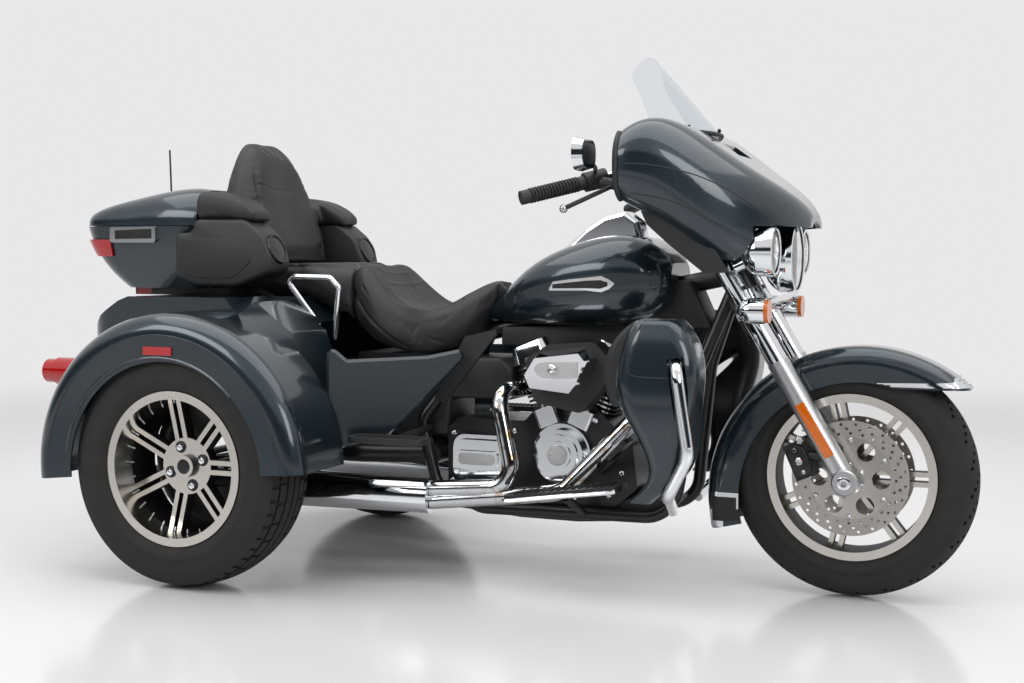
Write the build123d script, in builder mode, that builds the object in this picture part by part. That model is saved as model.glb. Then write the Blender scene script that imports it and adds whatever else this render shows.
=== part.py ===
from build123d import *

import os
from math import cos, radians, sin

# Driving dimensions in millimetres.
# X runs forward from the rear axle, Y to the rider's left and Z up from the floor.
WHEELBASE = 1670
OVERALL_WIDTH = 1390
HEAD_RAKE = 26
FORK_RAKE = 31
TRAIL = 100
FORK_HALF = 118

FRONT_TYRE_R = 318
FRONT_TYRE_W = 130
REAR_TYRE_R = 322
REAR_TYRE_W = 205
REAR_WHEEL_Y = 575
SPOKE_PAIRS = 7

REAR_REACH = 622
SHIELD_TOP = 1430

# Named clearances: seat between fixed pieces, running fit of a shaft, room round what moves.
SEAT_GAP = 0.3
RUN_FIT = 0.06
ROOM = 6

# The origin sits on the floor midway between the front tread and the aerial's tip.
FRONT_REACH = WHEELBASE + FRONT_TYRE_R
MIDDLE_X = (FRONT_REACH - REAR_REACH) / 2

# Steering axis, and points along it and along the fork legs.
STEER_DIR = Vector(-sin(radians(HEAD_RAKE)), 0, cos(radians(HEAD_RAKE)))
STEER_FOOT = Vector(WHEELBASE + TRAIL, 0, 0)
FORK_DIR = Vector(-sin(radians(FORK_RAKE)), 0, cos(radians(FORK_RAKE)))
FRONT_AXLE = Vector(WHEELBASE, 0, FRONT_TYRE_R)
REAR_AXLE_Z = REAR_TYRE_R


def on_steering(reach, forward=0):
    """Plane square to the steering axis, reach along it from the floor, set forward of it."""
    ahead = Vector(cos(radians(HEAD_RAKE)), 0, sin(radians(HEAD_RAKE)))
    return Plane(origin=STEER_FOOT + STEER_DIR * reach + ahead * forward, x_dir=(0, 1, 0), z_dir=STEER_DIR)


def on_fork(reach, side):
    """Plane square to one fork leg, reach along it from the front axle."""
    return Plane(origin=FRONT_AXLE + FORK_DIR * reach + Vector(0, side * FORK_HALF, 0),
                 x_dir=(0, 1, 0), z_dir=FORK_DIR)


def tube(points, bends, radius, mode=Mode.ADD):
    """Round tube along straight runs joined by bends."""
    with BuildLine(mode=Mode.PRIVATE) as route:
        if bends:
            FilletPolyline(*points, radius=bends)
        else:
            Polyline(*points)
    with BuildSketch(Plane(origin=route.line @ 0, z_dir=route.line % 0), mode=Mode.PRIVATE) as ring:
        Circle(radius)
    sweep(sections=ring.sketch, path=route.line, mode=mode)


def lengthwise_loft(stations, rounding, inset=0, offset_y=0, mode=Mode.ADD):
    """Loft along X through rounded sections: station x, half width, low edge, high edge."""
    sections = []
    for x, half_width, low, high in stations:
        width = 2 * (half_width - inset)
        height = high - low - 2 * inset
        centre = (x, offset_y, (low + high) / 2)
        with BuildSketch(Plane(origin=centre, x_dir=(0, 1, 0), z_dir=(1, 0, 0))) as section:
            RectangleRounded(width, height, rounding * min(width, height))
        sections.append(section.sketch)
    loft(sections, mode=mode)


def upright_loft(levels, rounding, mode=Mode.ADD):
    """Loft along Z through rounded sections: level z, back x, front x, right y, left y."""
    sections = []
    for z, back, front, right, left in levels:
        length = front - back
        width = left - right
        with BuildSketch(Plane(origin=((back + front) / 2, (right + left) / 2, z))) as section:
            RectangleRounded(length, width, rounding * min(length, width))
        sections.append(section.sketch)
    loft(sections, mode=mode)


def side_profile(points, half_width, rounding=0, offset_y=0, mode=Mode.ADD):
    """Side outline in X and Z, with rounded corners, carried out to both sides."""
    with BuildSketch(Plane(origin=(0, offset_y, 0), x_dir=(1, 0, 0), z_dir=(0, -1, 0))) as outline:
        Polygon(*points, align=None)
        if rounding:
            fillet(outline.vertices(), rounding)
    extrude(outline.sketch, amount=half_width, both=True, mode=mode)


# Front wheel: rim sizes shared by the tyre, the wheel and the brake discs.
FRONT_LIP_R = 218
FRONT_SEAT_R = 208
FRONT_SEAT_HALF = 46
LIP_THICK = 6
BARREL_THICK = 12
FRONT_HUB_R = 46
FRONT_HUB_HALF = 60
AXLE_R = 12.5
AXLE_BORE_R = 6
DISC_R = 150
DISC_THICK = 5

# Rear wheels: rim sizes shared by tyre and wheel, and the dish of the spokes.
REAR_LIP_R = 207
REAR_SEAT_R = 197
REAR_SEAT_HALF = 84
REAR_DISH = 68
REAR_HUB_R = 76
REAR_SPOKE_DEEP = 34
HUB_CAP_R = 30
HUB_CAP_HIGH = 16
STUB_R = 20


def tyre_section(outer_r, width, seat_r, lip_r, seat_half, crown_drop, crown_half):
    """Half section of a tyre: bead on the rim, bulging side walls and a gently rounded tread."""
    bead_half = seat_half - SEAT_GAP
    bulge_r = (lip_r + outer_r) / 2
    with BuildLine() as section:
        Polyline((lip_r + SEAT_GAP, -bead_half), (seat_r + SEAT_GAP, -bead_half),
                 (seat_r + SEAT_GAP, bead_half), (lip_r + SEAT_GAP, bead_half))
        ThreePointArc((lip_r + SEAT_GAP, bead_half), (bulge_r, width / 2), (outer_r - crown_drop, crown_half))
        ThreePointArc((outer_r - crown_drop, crown_half), (outer_r, 0), (outer_r - crown_drop, -crown_half))
        ThreePointArc((outer_r - crown_drop, -crown_half), (bulge_r, -width / 2),
                      (lip_r + SEAT_GAP, -bead_half))
    make_face(section.edges())


def rim_section(seat_r, lip_r, seat_half):
    """Half section of a rim: a barrel with a raised lip at each edge."""
    inner_r = seat_r - BARREL_THICK
    edge = seat_half + LIP_THICK
    Polygon((inner_r, -edge), (lip_r, -edge), (lip_r, -seat_half), (seat_r, -seat_half),
            (seat_r, seat_half), (lip_r, seat_half), (lip_r, edge), (inner_r, edge), align=None)


FRONT_SPIN = Axis(FRONT_AXLE, (0, 1, 0))
FRONT_FACE = Plane(origin=FRONT_AXLE, x_dir=(1, 0, 0), z_dir=(0, -1, 0))

# Front tyre
with BuildPart() as front_tyre:
    with BuildSketch(Plane(origin=FRONT_AXLE)):
        tyre_section(FRONT_TYRE_R, FRONT_TYRE_W, FRONT_SEAT_R, FRONT_LIP_R, FRONT_SEAT_HALF, 24, 54)
    revolve(axis=FRONT_SPIN)

# Front wheel: barrel, hub and seven pairs of spokes cast in one.
SPOKE_W = 13
SPOKE_SPLIT = 26
FRONT_SPOKE_HALF = 17
with BuildPart() as front_rim:
    with BuildSketch(Plane(origin=FRONT_AXLE)):
        rim_section(FRONT_SEAT_R, FRONT_LIP_R, FRONT_SEAT_HALF)
    revolve(axis=FRONT_SPIN)
    with BuildSketch(FRONT_FACE):
        Circle(FRONT_HUB_R)
    extrude(amount=FRONT_HUB_HALF, both=True)
    spoke_end = FRONT_SEAT_R - BARREL_THICK / 2
    with BuildSketch(FRONT_FACE):
        with PolarLocations(0, SPOKE_PAIRS):
            with Locations((spoke_end / 2, SPOKE_SPLIT / 2), (spoke_end / 2, -SPOKE_SPLIT / 2)):
                Rectangle(spoke_end, SPOKE_W)
    extrude(amount=FRONT_SPOKE_HALF, both=True)
    with BuildSketch(FRONT_FACE):
        Circle(AXLE_R + RUN_FIT)
    extrude(amount=FRONT_HUB_HALF, both=True, mode=Mode.SUBTRACT)

# Brake discs: a ring on six arms at each end of the front hub.
DISC_ARMS = 6
DISC_ARM_W = 24
DISC_BAND = 40
with BuildPart() as brake_discs:
    with BuildSketch(FRONT_FACE.offset(FRONT_HUB_HALF)):
        Circle(DISC_R)
        Circle(DISC_R - DISC_BAND, mode=Mode.SUBTRACT)
        with PolarLocations((DISC_R - DISC_BAND) / 2 + 10, DISC_ARMS):
            Rectangle(DISC_R - DISC_BAND, DISC_ARM_W)
        Circle(FRONT_HUB_R + 14)
        Circle(AXLE_R + 8, mode=Mode.SUBTRACT)
    extrude(amount=DISC_THICK)
    mirror(about=Plane.XZ)

# Rear wheels, one set for each side.
rear_tyres = {}
rear_rims = {}
for side_name, side in (("right", -1), ("left", 1)):
    centre = Vector(0, side * REAR_WHEEL_Y, REAR_AXLE_Z)
    spin = Axis(centre, (0, 1, 0))
    face = Plane(origin=centre, x_dir=(1, 0, 0), z_dir=(0, side, 0))
    dish_face = REAR_SEAT_HALF + LIP_THICK - REAR_DISH
    with BuildPart() as tyre:
        with BuildSketch(Plane(origin=centre)):
            tyre_section(REAR_TYRE_R, REAR_TYRE_W, REAR_SEAT_R, REAR_LIP_R, REAR_SEAT_HALF, 14, 88)
        revolve(axis=spin)
    rear_tyres[side_name] = tyre
    with BuildPart() as rim:
        with BuildSketch(Plane(origin=centre)):
            rim_section(REAR_SEAT_R, REAR_LIP_R, REAR_SEAT_HALF)
        revolve(axis=spin)
        spoke_end = REAR_SEAT_R - BARREL_THICK / 2
        with BuildSketch(face.offset(dish_face)):
            Circle(REAR_HUB_R)
            with PolarLocations(0, SPOKE_PAIRS):
                with Locations((spoke_end / 2, SPOKE_SPLIT / 2), (spoke_end / 2, -SPOKE_SPLIT / 2)):
                    Rectangle(spoke_end, SPOKE_W)
        extrude(amount=-REAR_SPOKE_DEEP)
        with BuildSketch(face.offset(dish_face)):
            Circle(HUB_CAP_R)
        extrude(amount=HUB_CAP_HIGH)
        with BuildSketch(face.offset(dish_face)):
            Circle(STUB_R + RUN_FIT)
        extrude(amount=-REAR_SPOKE_DEEP, mode=Mode.SUBTRACT)
    rear_rims[side_name] = rim

# Rear axle: differential, tubes to both wheels and the stubs that the wheels turn on.
DIFF_R = 76
DIFF_HALF = 70
AXLE_TUBE_R = 36
STUB_END = REAR_WHEEL_Y + REAR_SEAT_HALF + LIP_THICK - REAR_DISH
TUBE_END = STUB_END - REAR_SPOKE_DEEP - ROOM
with BuildPart() as rear_axle:
    with BuildSketch(Plane(origin=(0, 0, REAR_AXLE_Z))):
        Polygon((0, 0), (DIFF_R, 0), (DIFF_R, DIFF_HALF - 20), (AXLE_TUBE_R, DIFF_HALF + 20),
                (AXLE_TUBE_R, TUBE_END), (STUB_R, TUBE_END), (STUB_R, STUB_END - 1), (0, STUB_END - 1),
                align=None)
    revolve(axis=Axis((0, 0, REAR_AXLE_Z), (0, 1, 0)))
    mirror(about=Plane.XZ)

# Swingarm: two arms from the pivot behind the gearbox to the axle tubes.
PIVOT_X = 500
ARM_R = 26
ARM_Y = 175
with BuildPart() as swingarm:
    tube([(0, -ARM_Y, REAR_AXLE_Z), (300, -ARM_Y, REAR_AXLE_Z), (PIVOT_X, -105, REAR_AXLE_Z)], 80, ARM_R)
    mirror(about=Plane.XZ)
    tube([(300, -ARM_Y, REAR_AXLE_Z), (300, ARM_Y, REAR_AXLE_Z)], None, ARM_R - 6)
    tube([(PIVOT_X, -125, REAR_AXLE_Z), (PIVOT_X, 125, REAR_AXLE_Z)], None, ARM_R + 4)
    add(rear_axle.part, mode=Mode.SUBTRACT)

# Frame: steering head, backbone, twin cradle tubes, seat rails and seat pan.
HEAD_LOW = 890
HEAD_HIGH = 985
HEAD_R = 34
STEM_R = 18
BACKBONE_R = 26
BACKBONE_MID = Vector(1180, 0, 806)
BACKBONE_REAR = Vector(630, 0, 672)
CRADLE_R = 17
RAIL_Y = 150
RAIL_Z = 575
TUB_WALL = 12
SPACE_FRONT = 20
PAN_TOP = 611
head_low_point = STEER_FOOT + STEER_DIR * HEAD_LOW
with BuildPart() as frame:
    with BuildSketch(on_steering(HEAD_LOW)):
        Circle(HEAD_R)
    extrude(amount=HEAD_HIGH - HEAD_LOW)
    tube([(head_low_point.X - 20, 0, 845), BACKBONE_MID, BACKBONE_REAR], 200, BACKBONE_R)
    tube([(head_low_point.X - 32, -18, 808), (1268, -62, 590), (1215, -125, 190), (660, -125, 180),
          (520, -125, 235), (470, -125, 420), (620, -20, 655)], [160, 90, 80, 60, 60], CRADLE_R)
    rail_end = SPACE_FRONT + TUB_WALL + SEAT_GAP
    tube([(610, -30, 648), (500, -RAIL_Y, RAIL_Z), (rail_end, -RAIL_Y, RAIL_Z)], 60, CRADLE_R)
    mirror(about=Plane.XZ)
    with Locations((420, 0, (RAIL_Z + PAN_TOP) / 2)):
        Box(280, 2 * RAIL_Y, PAN_TOP - RAIL_Z)
    with BuildSketch(on_steering(HEAD_LOW - 5)):
        Circle(STEM_R + RUN_FIT)
    extrude(amount=HEAD_HIGH - HEAD_LOW + 10, mode=Mode.SUBTRACT)
    with BuildSketch(on_steering(HEAD_HIGH)):
        Circle(HEAD_R + 30)
    extrude(amount=60, mode=Mode.SUBTRACT)
    with BuildSketch(on_steering(HEAD_LOW)):
        Circle(HEAD_R + 30)
    extrude(amount=-60, mode=Mode.SUBTRACT)
    add(swingarm.part, mode=Mode.SUBTRACT)

# Rear shock absorbers
SHOCK_R = 27
with BuildPart() as rear_shocks:
    tube([(150, -ARM_Y, REAR_AXLE_Z), (190, -RAIL_Y, RAIL_Z)], None, SHOCK_R)
    mirror(about=Plane.XZ)
    add(swingarm.part, mode=Mode.SUBTRACT)
    add(frame.part, mode=Mode.SUBTRACT)

# Crankcase and gearbox in one casting.
CRANK_X = 905
CRANK_Z = 330
CASE_HALF = 104
with BuildPart() as engine_case:
    side_profile([(545, 235), (690, 200), (1040, 200), (1110, 260), (1095, 380), (1000, 462), (985, 480),
                  (825, 480), (780, 430), (575, 430), (545, 400)], CASE_HALF, 16)
    add(frame.part, mode=Mode.SUBTRACT)

# Two finned cylinders in a vee, with their heads.
VEE_HALF = 22.5
BARREL_FROM = 158
BARREL_TO = 292
FIN_PITCH = 13
FIN_THICK = 5
FIN_LONG = 128
FIN_WIDE = 170
BARREL_R = 56


def cylinder_plane(lean, reach):
    """Plane square to a cylinder's axis, reach from the crank centre; positive lean is forward."""
    axis_dir = Vector(sin(radians(lean)), 0, cos(radians(lean)))
    return Plane(origin=Vector(CRANK_X, 0, CRANK_Z) + axis_dir * reach, x_dir=(0, 1, 0), z_dir=axis_dir)


with BuildPart() as cylinders:
    for lean in (-VEE_HALF, VEE_HALF):
        with BuildSketch(cylinder_plane(lean, BARREL_FROM - 20)):
            Circle(BARREL_R)
        extrude(amount=BARREL_TO - BARREL_FROM + 20)
        fins = int((BARREL_TO - BARREL_FROM) / FIN_PITCH)
        for fin in range(fins):
            with BuildSketch(cylinder_plane(lean, BARREL_FROM + fin * FIN_PITCH)):
                RectangleRounded(FIN_WIDE, FIN_LONG, 36)
            extrude(amount=FIN_THICK)
    add(engine_case.part, mode=Mode.SUBTRACT)
    with BuildSketch(Plane.YZ.offset(CRANK_X)):
        Rectangle(400, 800)
    extrude(amount=1.5, both=True, mode=Mode.SUBTRACT)

# Engine covers: rocker covers, pushrod tubes, cam cover and gearbox cover.
ROCKER_HIGH = 48
CAM_CENTRE = (CRANK_X - 10, CRANK_Z + 15)
GEARBOX_CENTRE = (655, 322)
# Cam cover steps: radius, height. Gearbox cover steps: length, width, height.
CAM_STEPS = [(84, 16), (70, 40), (56, 46), (38, 50)]
GEARBOX_STEPS = [(160, 130, 30), (148, 104, 46), (126, 44, 54)]
with BuildPart() as engine_covers:
    for lean in (-VEE_HALF, VEE_HALF):
        with BuildSketch(cylinder_plane(lean, BARREL_TO)):
            RectangleRounded(FIN_WIDE + 10, FIN_LONG + 8, 34)
        extrude(amount=ROCKER_HIGH, taper=12)
        foot = cylinder_plane(lean, 120).from_local_coords((-CASE_HALF - 16, 0, 0))
        top = cylinder_plane(lean, BARREL_TO + 8).from_local_coords((-CASE_HALF - 4, 0, 0))
        tube([foot, top], None, 13)
        block = cylinder_plane(lean, 128).from_local_coords((-CASE_HALF - 16, 0, 0))
        with BuildSketch(Plane(origin=block, x_dir=(0, 1, 0), z_dir=cylinder_plane(lean, 0).z_dir)):
            RectangleRounded(34, 66, 8)
        extrude(amount=26, both=True)
    for radius, height in CAM_STEPS:
        with BuildSketch(Plane.XZ.offset(CASE_HALF)):
            with Locations(CAM_CENTRE):
                Circle(radius)
        extrude(amount=height)
    for length, width, height in GEARBOX_STEPS:
        with BuildSketch(Plane.XZ.offset(CASE_HALF)):
            with Locations(GEARBOX_CENTRE):
                RectangleRounded(length, width, 0.26 * width)
        extrude(amount=height)
    add(cylinders.part, mode=Mode.SUBTRACT)
    add(engine_case.part, mode=Mode.SUBTRACT)

# Primary drive cover on the left of the engine.
with BuildPart() as primary_cover:
    with BuildSketch(Plane.XZ.offset(-CASE_HALF)):
        with Locations((805, 318)):
            SlotOverall(500, 196)
    extrude(amount=-62)
    fillet(primary_cover.faces().sort_by(Axis.Y)[-1].edges(), 18)

# Air cleaner: black body against the engine and its bright cover.
AIR_IN = 140
AIR_MID = 215
AIR_OUT = 282
with BuildPart() as air_cleaner_body:
    with BuildSketch(Plane.XZ.offset(AIR_IN)) as body_outline:
        Polygon((822, 610), (890, 652), (1020, 662), (1062, 620), (1048, 545), (985, 470), (850, 495),
                align=None)
        fillet(body_outline.vertices(), 22)
    extrude(amount=AIR_MID - AIR_IN)
    tube([(CRANK_X, -AIR_IN, 585), (CRANK_X, 0, 585)], None, 26)
    tube([(CRANK_X - 100, 0, 585), (CRANK_X + 100, 0, 585)], None, 24)
    add(cylinders.part, mode=Mode.SUBTRACT)
    add(engine_covers.part, mode=Mode.SUBTRACT)
with BuildPart() as air_cleaner_cover:
    with BuildSketch(Plane.XZ.offset(AIR_MID)) as cover_outline:
        Polygon((832, 574), (868, 632), (1005, 650), (1032, 618), (1006, 546), (980, 514), (854, 526),
                align=None)
        fillet(cover_outline.vertices(), 18)
    extrude(amount=AIR_OUT - AIR_MID, taper=12)

# Exhaust: rear and front pipes on the right run into one muffler, a second muffler lies on the left.
PIPE_R = 23
MUFFLER_R = 48
MUFFLER_Z = 226
with BuildPart() as exhaust_pipes:
    tube([(770, -60, 520), (735, -205, 520), (800, -222, 262), (560, -250, 245)], [60, 62], PIPE_R)
    tube([(1020, -60, 505), (1165, -170, 505), (925, -200, 250), (560, -250, 212)], [50, 90], PIPE_R)
    tube([(900, 60, 500), (860, 205, 400), (800, 225, 230), (560, 250, 228)], [60, 60], PIPE_R)
    add(cylinders.part, mode=Mode.SUBTRACT)
    add(engine_case.part, mode=Mode.SUBTRACT)
    add(engine_covers.part, mode=Mode.SUBTRACT)
    add(frame.part, mode=Mode.SUBTRACT)
    add(primary_cover.part, mode=Mode.SUBTRACT)
with BuildPart() as mufflers:
    tube([(560, -250, MUFFLER_Z), (-300, -330, MUFFLER_Z)], None, MUFFLER_R)
    mirror(about=Plane.XZ)
    add(exhaust_pipes.part, mode=Mode.SUBTRACT)

# Fuel tank with a tunnel over the backbone. Stations: x, half width, low edge, high edge.
TANK_STATIONS = [
    (640, 46, 712, 752),
    (740, 118, 703, 822),
    (870, 170, 700, 903),
    (1000, 192, 700, 942),
    (1110, 182, 716, 938),
    (1172, 140, 748, 902),
    (1196, 96, 782, 872),
]
with BuildPart() as fuel_tank:
    lengthwise_loft(TANK_STATIONS, 0.42)
    tunnel_rise = BACKBONE_R * 1.05 + SEAT_GAP
    side_profile([(600, 600), (1200, 600), (1200, BACKBONE_MID.Z + tunnel_rise + 4),
                  (BACKBONE_MID.X, BACKBONE_MID.Z + tunnel_rise),
                  (BACKBONE_REAR.X, BACKBONE_REAR.Z + tunnel_rise), (600, BACKBONE_REAR.Z + tunnel_rise)],
                 BACKBONE_R + SEAT_GAP, mode=Mode.SUBTRACT)

# Bright console along the top of the tank.
with BuildPart() as tank_console:
    side_profile([(720, 790), (850, 895), (930, 965), (985, 1000), (1045, 1014), (1085, 985), (1100, 920),
                  (1000, 880), (850, 800)], 42, 12)
    fillet(tank_console.edges().filter_by(Axis.Y, reverse=True).group_by(Axis.Z)[-1], 14)
    add(fuel_tank.part, mode=Mode.SUBTRACT)

# Seats. Stations: x, half width, low edge, high edge.
RIDER_STATIONS = [
    (262, 150, 690, 868),
    (330, 188, 640, 846),
    (440, 196, PAN_TOP + 1, 744),
    (540, 165, PAN_TOP + 1, 748),
    (620, 110, 680, 792),
    (676, 62, 770, 828),
]
PASSENGER_STATIONS = [
    (-60, 160, 775, 850),
    (60, 175, 774, 858),
    (180, 178, 745, 860),
    (262, 158, 690, 864),
]
with BuildPart() as rider_seat:
    lengthwise_loft(RIDER_STATIONS, 0.36)
    add(fuel_tank.part, mode=Mode.SUBTRACT)
    add(frame.part, mode=Mode.SUBTRACT)
    add(tank_console.part, mode=Mode.SUBTRACT)

# Trunk tub between the rear wheels: load space behind, open well for the suspension in front.
TUB_HALF = REAR_WHEEL_Y - REAR_TYRE_W / 2 - 24
TUB_REAR = -455
TUB_FLOOR = 405
TUB_TOP = 770
DOOR_HALF = 330
DOOR_LOW = 440
DOOR_HIGH = 640
DOOR_GAP = 5
HINGE_R = 8
HINGE_PIN_R = 4
TUB_CORNER = 90
VALLEY_IN = 225
WELL_MOUTH_HALF = 262
TUB_PROFILE = [(TUB_REAR, TUB_FLOOR), (TUB_REAR, 655), (-405, 712), (-335, 757), (-300, TUB_TOP),
               (110, TUB_TOP), (235, 680), (350, TUB_FLOOR)]
SPACE_LOW = TUB_FLOOR + TUB_WALL
SPACE_TOP = TUB_TOP - TUB_WALL
SPACE_PROFILE = [(TUB_REAR + TUB_WALL, SPACE_LOW), (TUB_REAR + TUB_WALL, 650), (-398, 702), (-330, 746),
                 (-297, SPACE_TOP), (SPACE_FRONT, SPACE_TOP), (SPACE_FRONT, SPACE_LOW)]


def tub_plan(rear, half_width, corner):
    """Upright prism with rounded rear corners that trims the tub and its load space."""
    with BuildSketch(Plane(origin=(0, 0, TUB_FLOOR - 50))) as plan:
        Polygon((rear, -half_width), (600, -half_width), (600, half_width), (rear, half_width), align=None)
        fillet(plan.vertices().group_by(Axis.X)[0], corner)
    extrude(plan.sketch, amount=2 * TUB_TOP, mode=Mode.INTERSECT)


with BuildPart() as tub_form:
    side_profile(TUB_PROFILE, TUB_HALF, 14)
    tub_plan(TUB_REAR, TUB_HALF, TUB_CORNER)
with BuildPart() as load_space:
    side_profile(SPACE_PROFILE, TUB_HALF)
    tub_plan(TUB_REAR + TUB_WALL, TUB_HALF - TUB_WALL, TUB_CORNER - TUB_WALL)
with BuildPart() as trunk_body:
    add(tub_form.part)
    add(load_space.part, mode=Mode.SUBTRACT)
    well_back = SPACE_FRONT + TUB_WALL
    well_low = TUB_FLOOR - 10
    side_profile([(well_back, well_low), (well_back, 706), (170, 706), (222, 668), (338, well_low)],
                 TUB_HALF - TUB_WALL, mode=Mode.SUBTRACT)
    side_profile([(well_back, well_low), (well_back, 700), (400, 700), (400, well_low)], WELL_MOUTH_HALF,
                 mode=Mode.SUBTRACT)
    for side in (-1, 1):
        side_profile([(16, TUB_TOP + 8), (64, 724), (140, TUB_TOP + 2)], (TUB_HALF - VALLEY_IN) / 2 + 1,
                     offset_y=side * (TUB_HALF + VALLEY_IN) / 2, mode=Mode.SUBTRACT)
    with Locations((TUB_REAR + TUB_WALL / 2, 0, (DOOR_LOW + DOOR_HIGH) / 2)):
        Box(4 * TUB_WALL, 2 * DOOR_HALF, DOOR_HIGH - DOOR_LOW, mode=Mode.SUBTRACT)
    with Locations((TUB_REAR - HINGE_R, 0, DOOR_LOW)):
        with Locations((0, -180, 0), (0, 180, 0)):
            Cylinder(HINGE_PIN_R, 60, rotation=(90, 0, 0))
        with Locations((0, -150, 0), (0, 150, 0)):
            Cylinder(HINGE_R, 16, rotation=(90, 0, 0))
        with Locations((HINGE_R, -150, -8), (HINGE_R, 150, -8)):
            Box(2 * HINGE_R, 16, 16)

with BuildPart() as passenger_seat:
    lengthwise_loft(PASSENGER_STATIONS, 0.36)
    add(trunk_body.part, mode=Mode.SUBTRACT)
    add(rider_seat.part, mode=Mode.SUBTRACT)

# Trunk door, hinged along its bottom edge on two pins.
DOOR_KNUCKLE_Y = 188
PLATE_PAD = (16, 220, 130)
with BuildPart() as trunk_door:
    with Locations((TUB_REAR + TUB_WALL / 2, 0, (DOOR_LOW + DOOR_HIGH) / 2)):
        Box(TUB_WALL, 2 * (DOOR_HALF - DOOR_GAP), DOOR_HIGH - DOOR_LOW - 2 * DOOR_GAP)
    with Locations((TUB_REAR - PLATE_PAD[0] / 2, 0, 550)):
        Box(*PLATE_PAD)
    for y in (-DOOR_KNUCKLE_Y, DOOR_KNUCKLE_Y):
        with Locations((TUB_REAR - HINGE_R, y, DOOR_LOW)):
            Cylinder(HINGE_R, 40, rotation=(90, 0, 0))
        with Locations((TUB_REAR - HINGE_R / 2, y, DOOR_LOW + 10)):
            Box(HINGE_R, 40, 20)
        with Locations((TUB_REAR - HINGE_R, y, DOOR_LOW)):
            Cylinder(HINGE_PIN_R + RUN_FIT, 60, rotation=(90, 0, 0), mode=Mode.SUBTRACT)

# Rear fenders: arched shells with a rolled crown and an open wheel arch.
FENDER_X = -22
FENDER_Z = 316
FENDER_R = 419
FENDER_WALL = 5
FENDER_ROLL = 55
ARCH_R = 300
MARKER_PROUD = 4
FENDER_OUT = OVERALL_WIDTH / 2 - MARKER_PROUD


def fender_section(out, inner):
    """Cross section of a rear fender: skirt, rolled crown and a top that runs in to the trunk tub."""
    skirt_r = ARCH_R - 60
    with BuildLine() as section:
        top = Line((FENDER_R, inner), (FENDER_R, out - FENDER_ROLL))
        roll = JernArc(top @ 1, (0, 1), FENDER_ROLL, 90)
        skirt = Line(roll @ 1, (skirt_r, out))
        foot = Line(skirt @ 1, (skirt_r, out - FENDER_WALL))
        back = Line(foot @ 1, (FENDER_R - FENDER_ROLL, out - FENDER_WALL))
        under = JernArc(back @ 1, (1, 0), FENDER_ROLL - FENDER_WALL, -90)
        ceiling = Line(under @ 1, (FENDER_R - FENDER_WALL, inner))
        Line(ceiling @ 1, top @ 0)
    make_face(section.edges())


FENDER_FRONT = 2
FENDER_TURN = 184
rear_fenders = {}
for side_name, side in (("right", -1), ("left", 1)):
    centre = Vector(FENDER_X, 0, FENDER_Z)
    front_dir = Vector(cos(radians(FENDER_FRONT)), 0, sin(radians(FENDER_FRONT)))
    with BuildPart() as fender:
        front_plane = Plane(origin=centre, x_dir=front_dir, z_dir=(-front_dir.Z * side, 0, front_dir.X * side))
        with BuildSketch(front_plane):
            fender_section(FENDER_OUT, TUB_HALF)
        revolve(axis=Axis(centre, (0, -1, 0)), revolution_arc=FENDER_TURN)
        with BuildSketch(Plane(origin=centre, x_dir=(0, 0, 1), z_dir=(-side, 0, 0))):
            fender_section(FENDER_OUT, TUB_HALF - TUB_CORNER)
        revolve(axis=Axis(centre, (0, -1, 0)), revolution_arc=FENDER_FRONT + FENDER_TURN - 90)
        add(tub_form.part, mode=Mode.SUBTRACT)
        with Locations((FENDER_X + 12, side * FENDER_OUT, FENDER_Z - 8)):
            Cylinder(ARCH_R, 60, rotation=(90, 0, 0), mode=Mode.SUBTRACT)
    rear_fenders[side_name] = fender

# Painted side covers between the fenders and the engine, and the black air deflectors ahead of them.
with BuildPart() as side_covers:
    with BuildSketch(Plane(origin=(360, -430, 0), x_dir=Vector(350, 190, 0).normalized(),
                           z_dir=Vector(190, -350, 0).normalized())) as cover_side:
        Polygon((-16, 365), (-16, 640), (30, 600), (250, 610), (360, 632), (180, 445), (140, 405), align=None)
        fillet(cover_side.vertices(), 10)
    extrude(amount=-18, taper=-22)
    add(tub_form.part, mode=Mode.SUBTRACT)
    mirror(about=Plane.XZ)
with BuildPart() as air_deflectors:
    with BuildSketch(Plane.XZ.offset(212)) as deflector_side:
        Polygon((756, 694), (590, 484), (555, 488), (650, 668), align=None)
        fillet(deflector_side.vertices(), 8)
    extrude(amount=14)
    tube([(590, -213, 560), (540, -112, 574)], None, 8)
    add(frame.part, mode=Mode.SUBTRACT)
    mirror(about=Plane.XZ)

# Top case: tapered base on the trunk and a domed lid hinged along its left edge.
CASE_BACK = -592
CASE_FRONT = -175
CASE_WIDE = 305
CASE_LOW = 790
CASE_SEAM = 972
CASE_WALL = 8
LID_TOP = 1085
LID_GAP = 2
LID_HINGES = (-500, -270)
LID_HINGE_Y = CASE_WIDE + 7
LID_HINGE_Z = CASE_SEAM + LID_GAP / 2
LID_PIN_R = 3
LID_KNUCKLE_R = 6
BASE_LEVELS = [
    (CASE_LOW, -470, CASE_FRONT - 4, -250, 250),
    (850, -535, CASE_FRONT - 2, -275, 275),
    (CASE_SEAM, CASE_BACK, CASE_FRONT, -CASE_WIDE, CASE_WIDE),
]
with BuildPart() as base_core:
    with BuildSketch(Plane(origin=(0, 0, CASE_LOW + CASE_WALL))):
        with Locations(((-455 + CASE_FRONT - 10) / 2, 0)):
            RectangleRounded(CASE_FRONT - 10 + 455, 470, 60)
    with BuildSketch(Plane(origin=(0, 0, CASE_SEAM + 1))):
        with Locations(((CASE_BACK + CASE_FRONT) / 2, 0)):
            RectangleRounded(CASE_FRONT - CASE_BACK - 2 * CASE_WALL, 2 * (CASE_WIDE - CASE_WALL), 60)
    loft()
with BuildPart() as base_form:
    upright_loft(BASE_LEVELS, 0.2)
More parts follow.
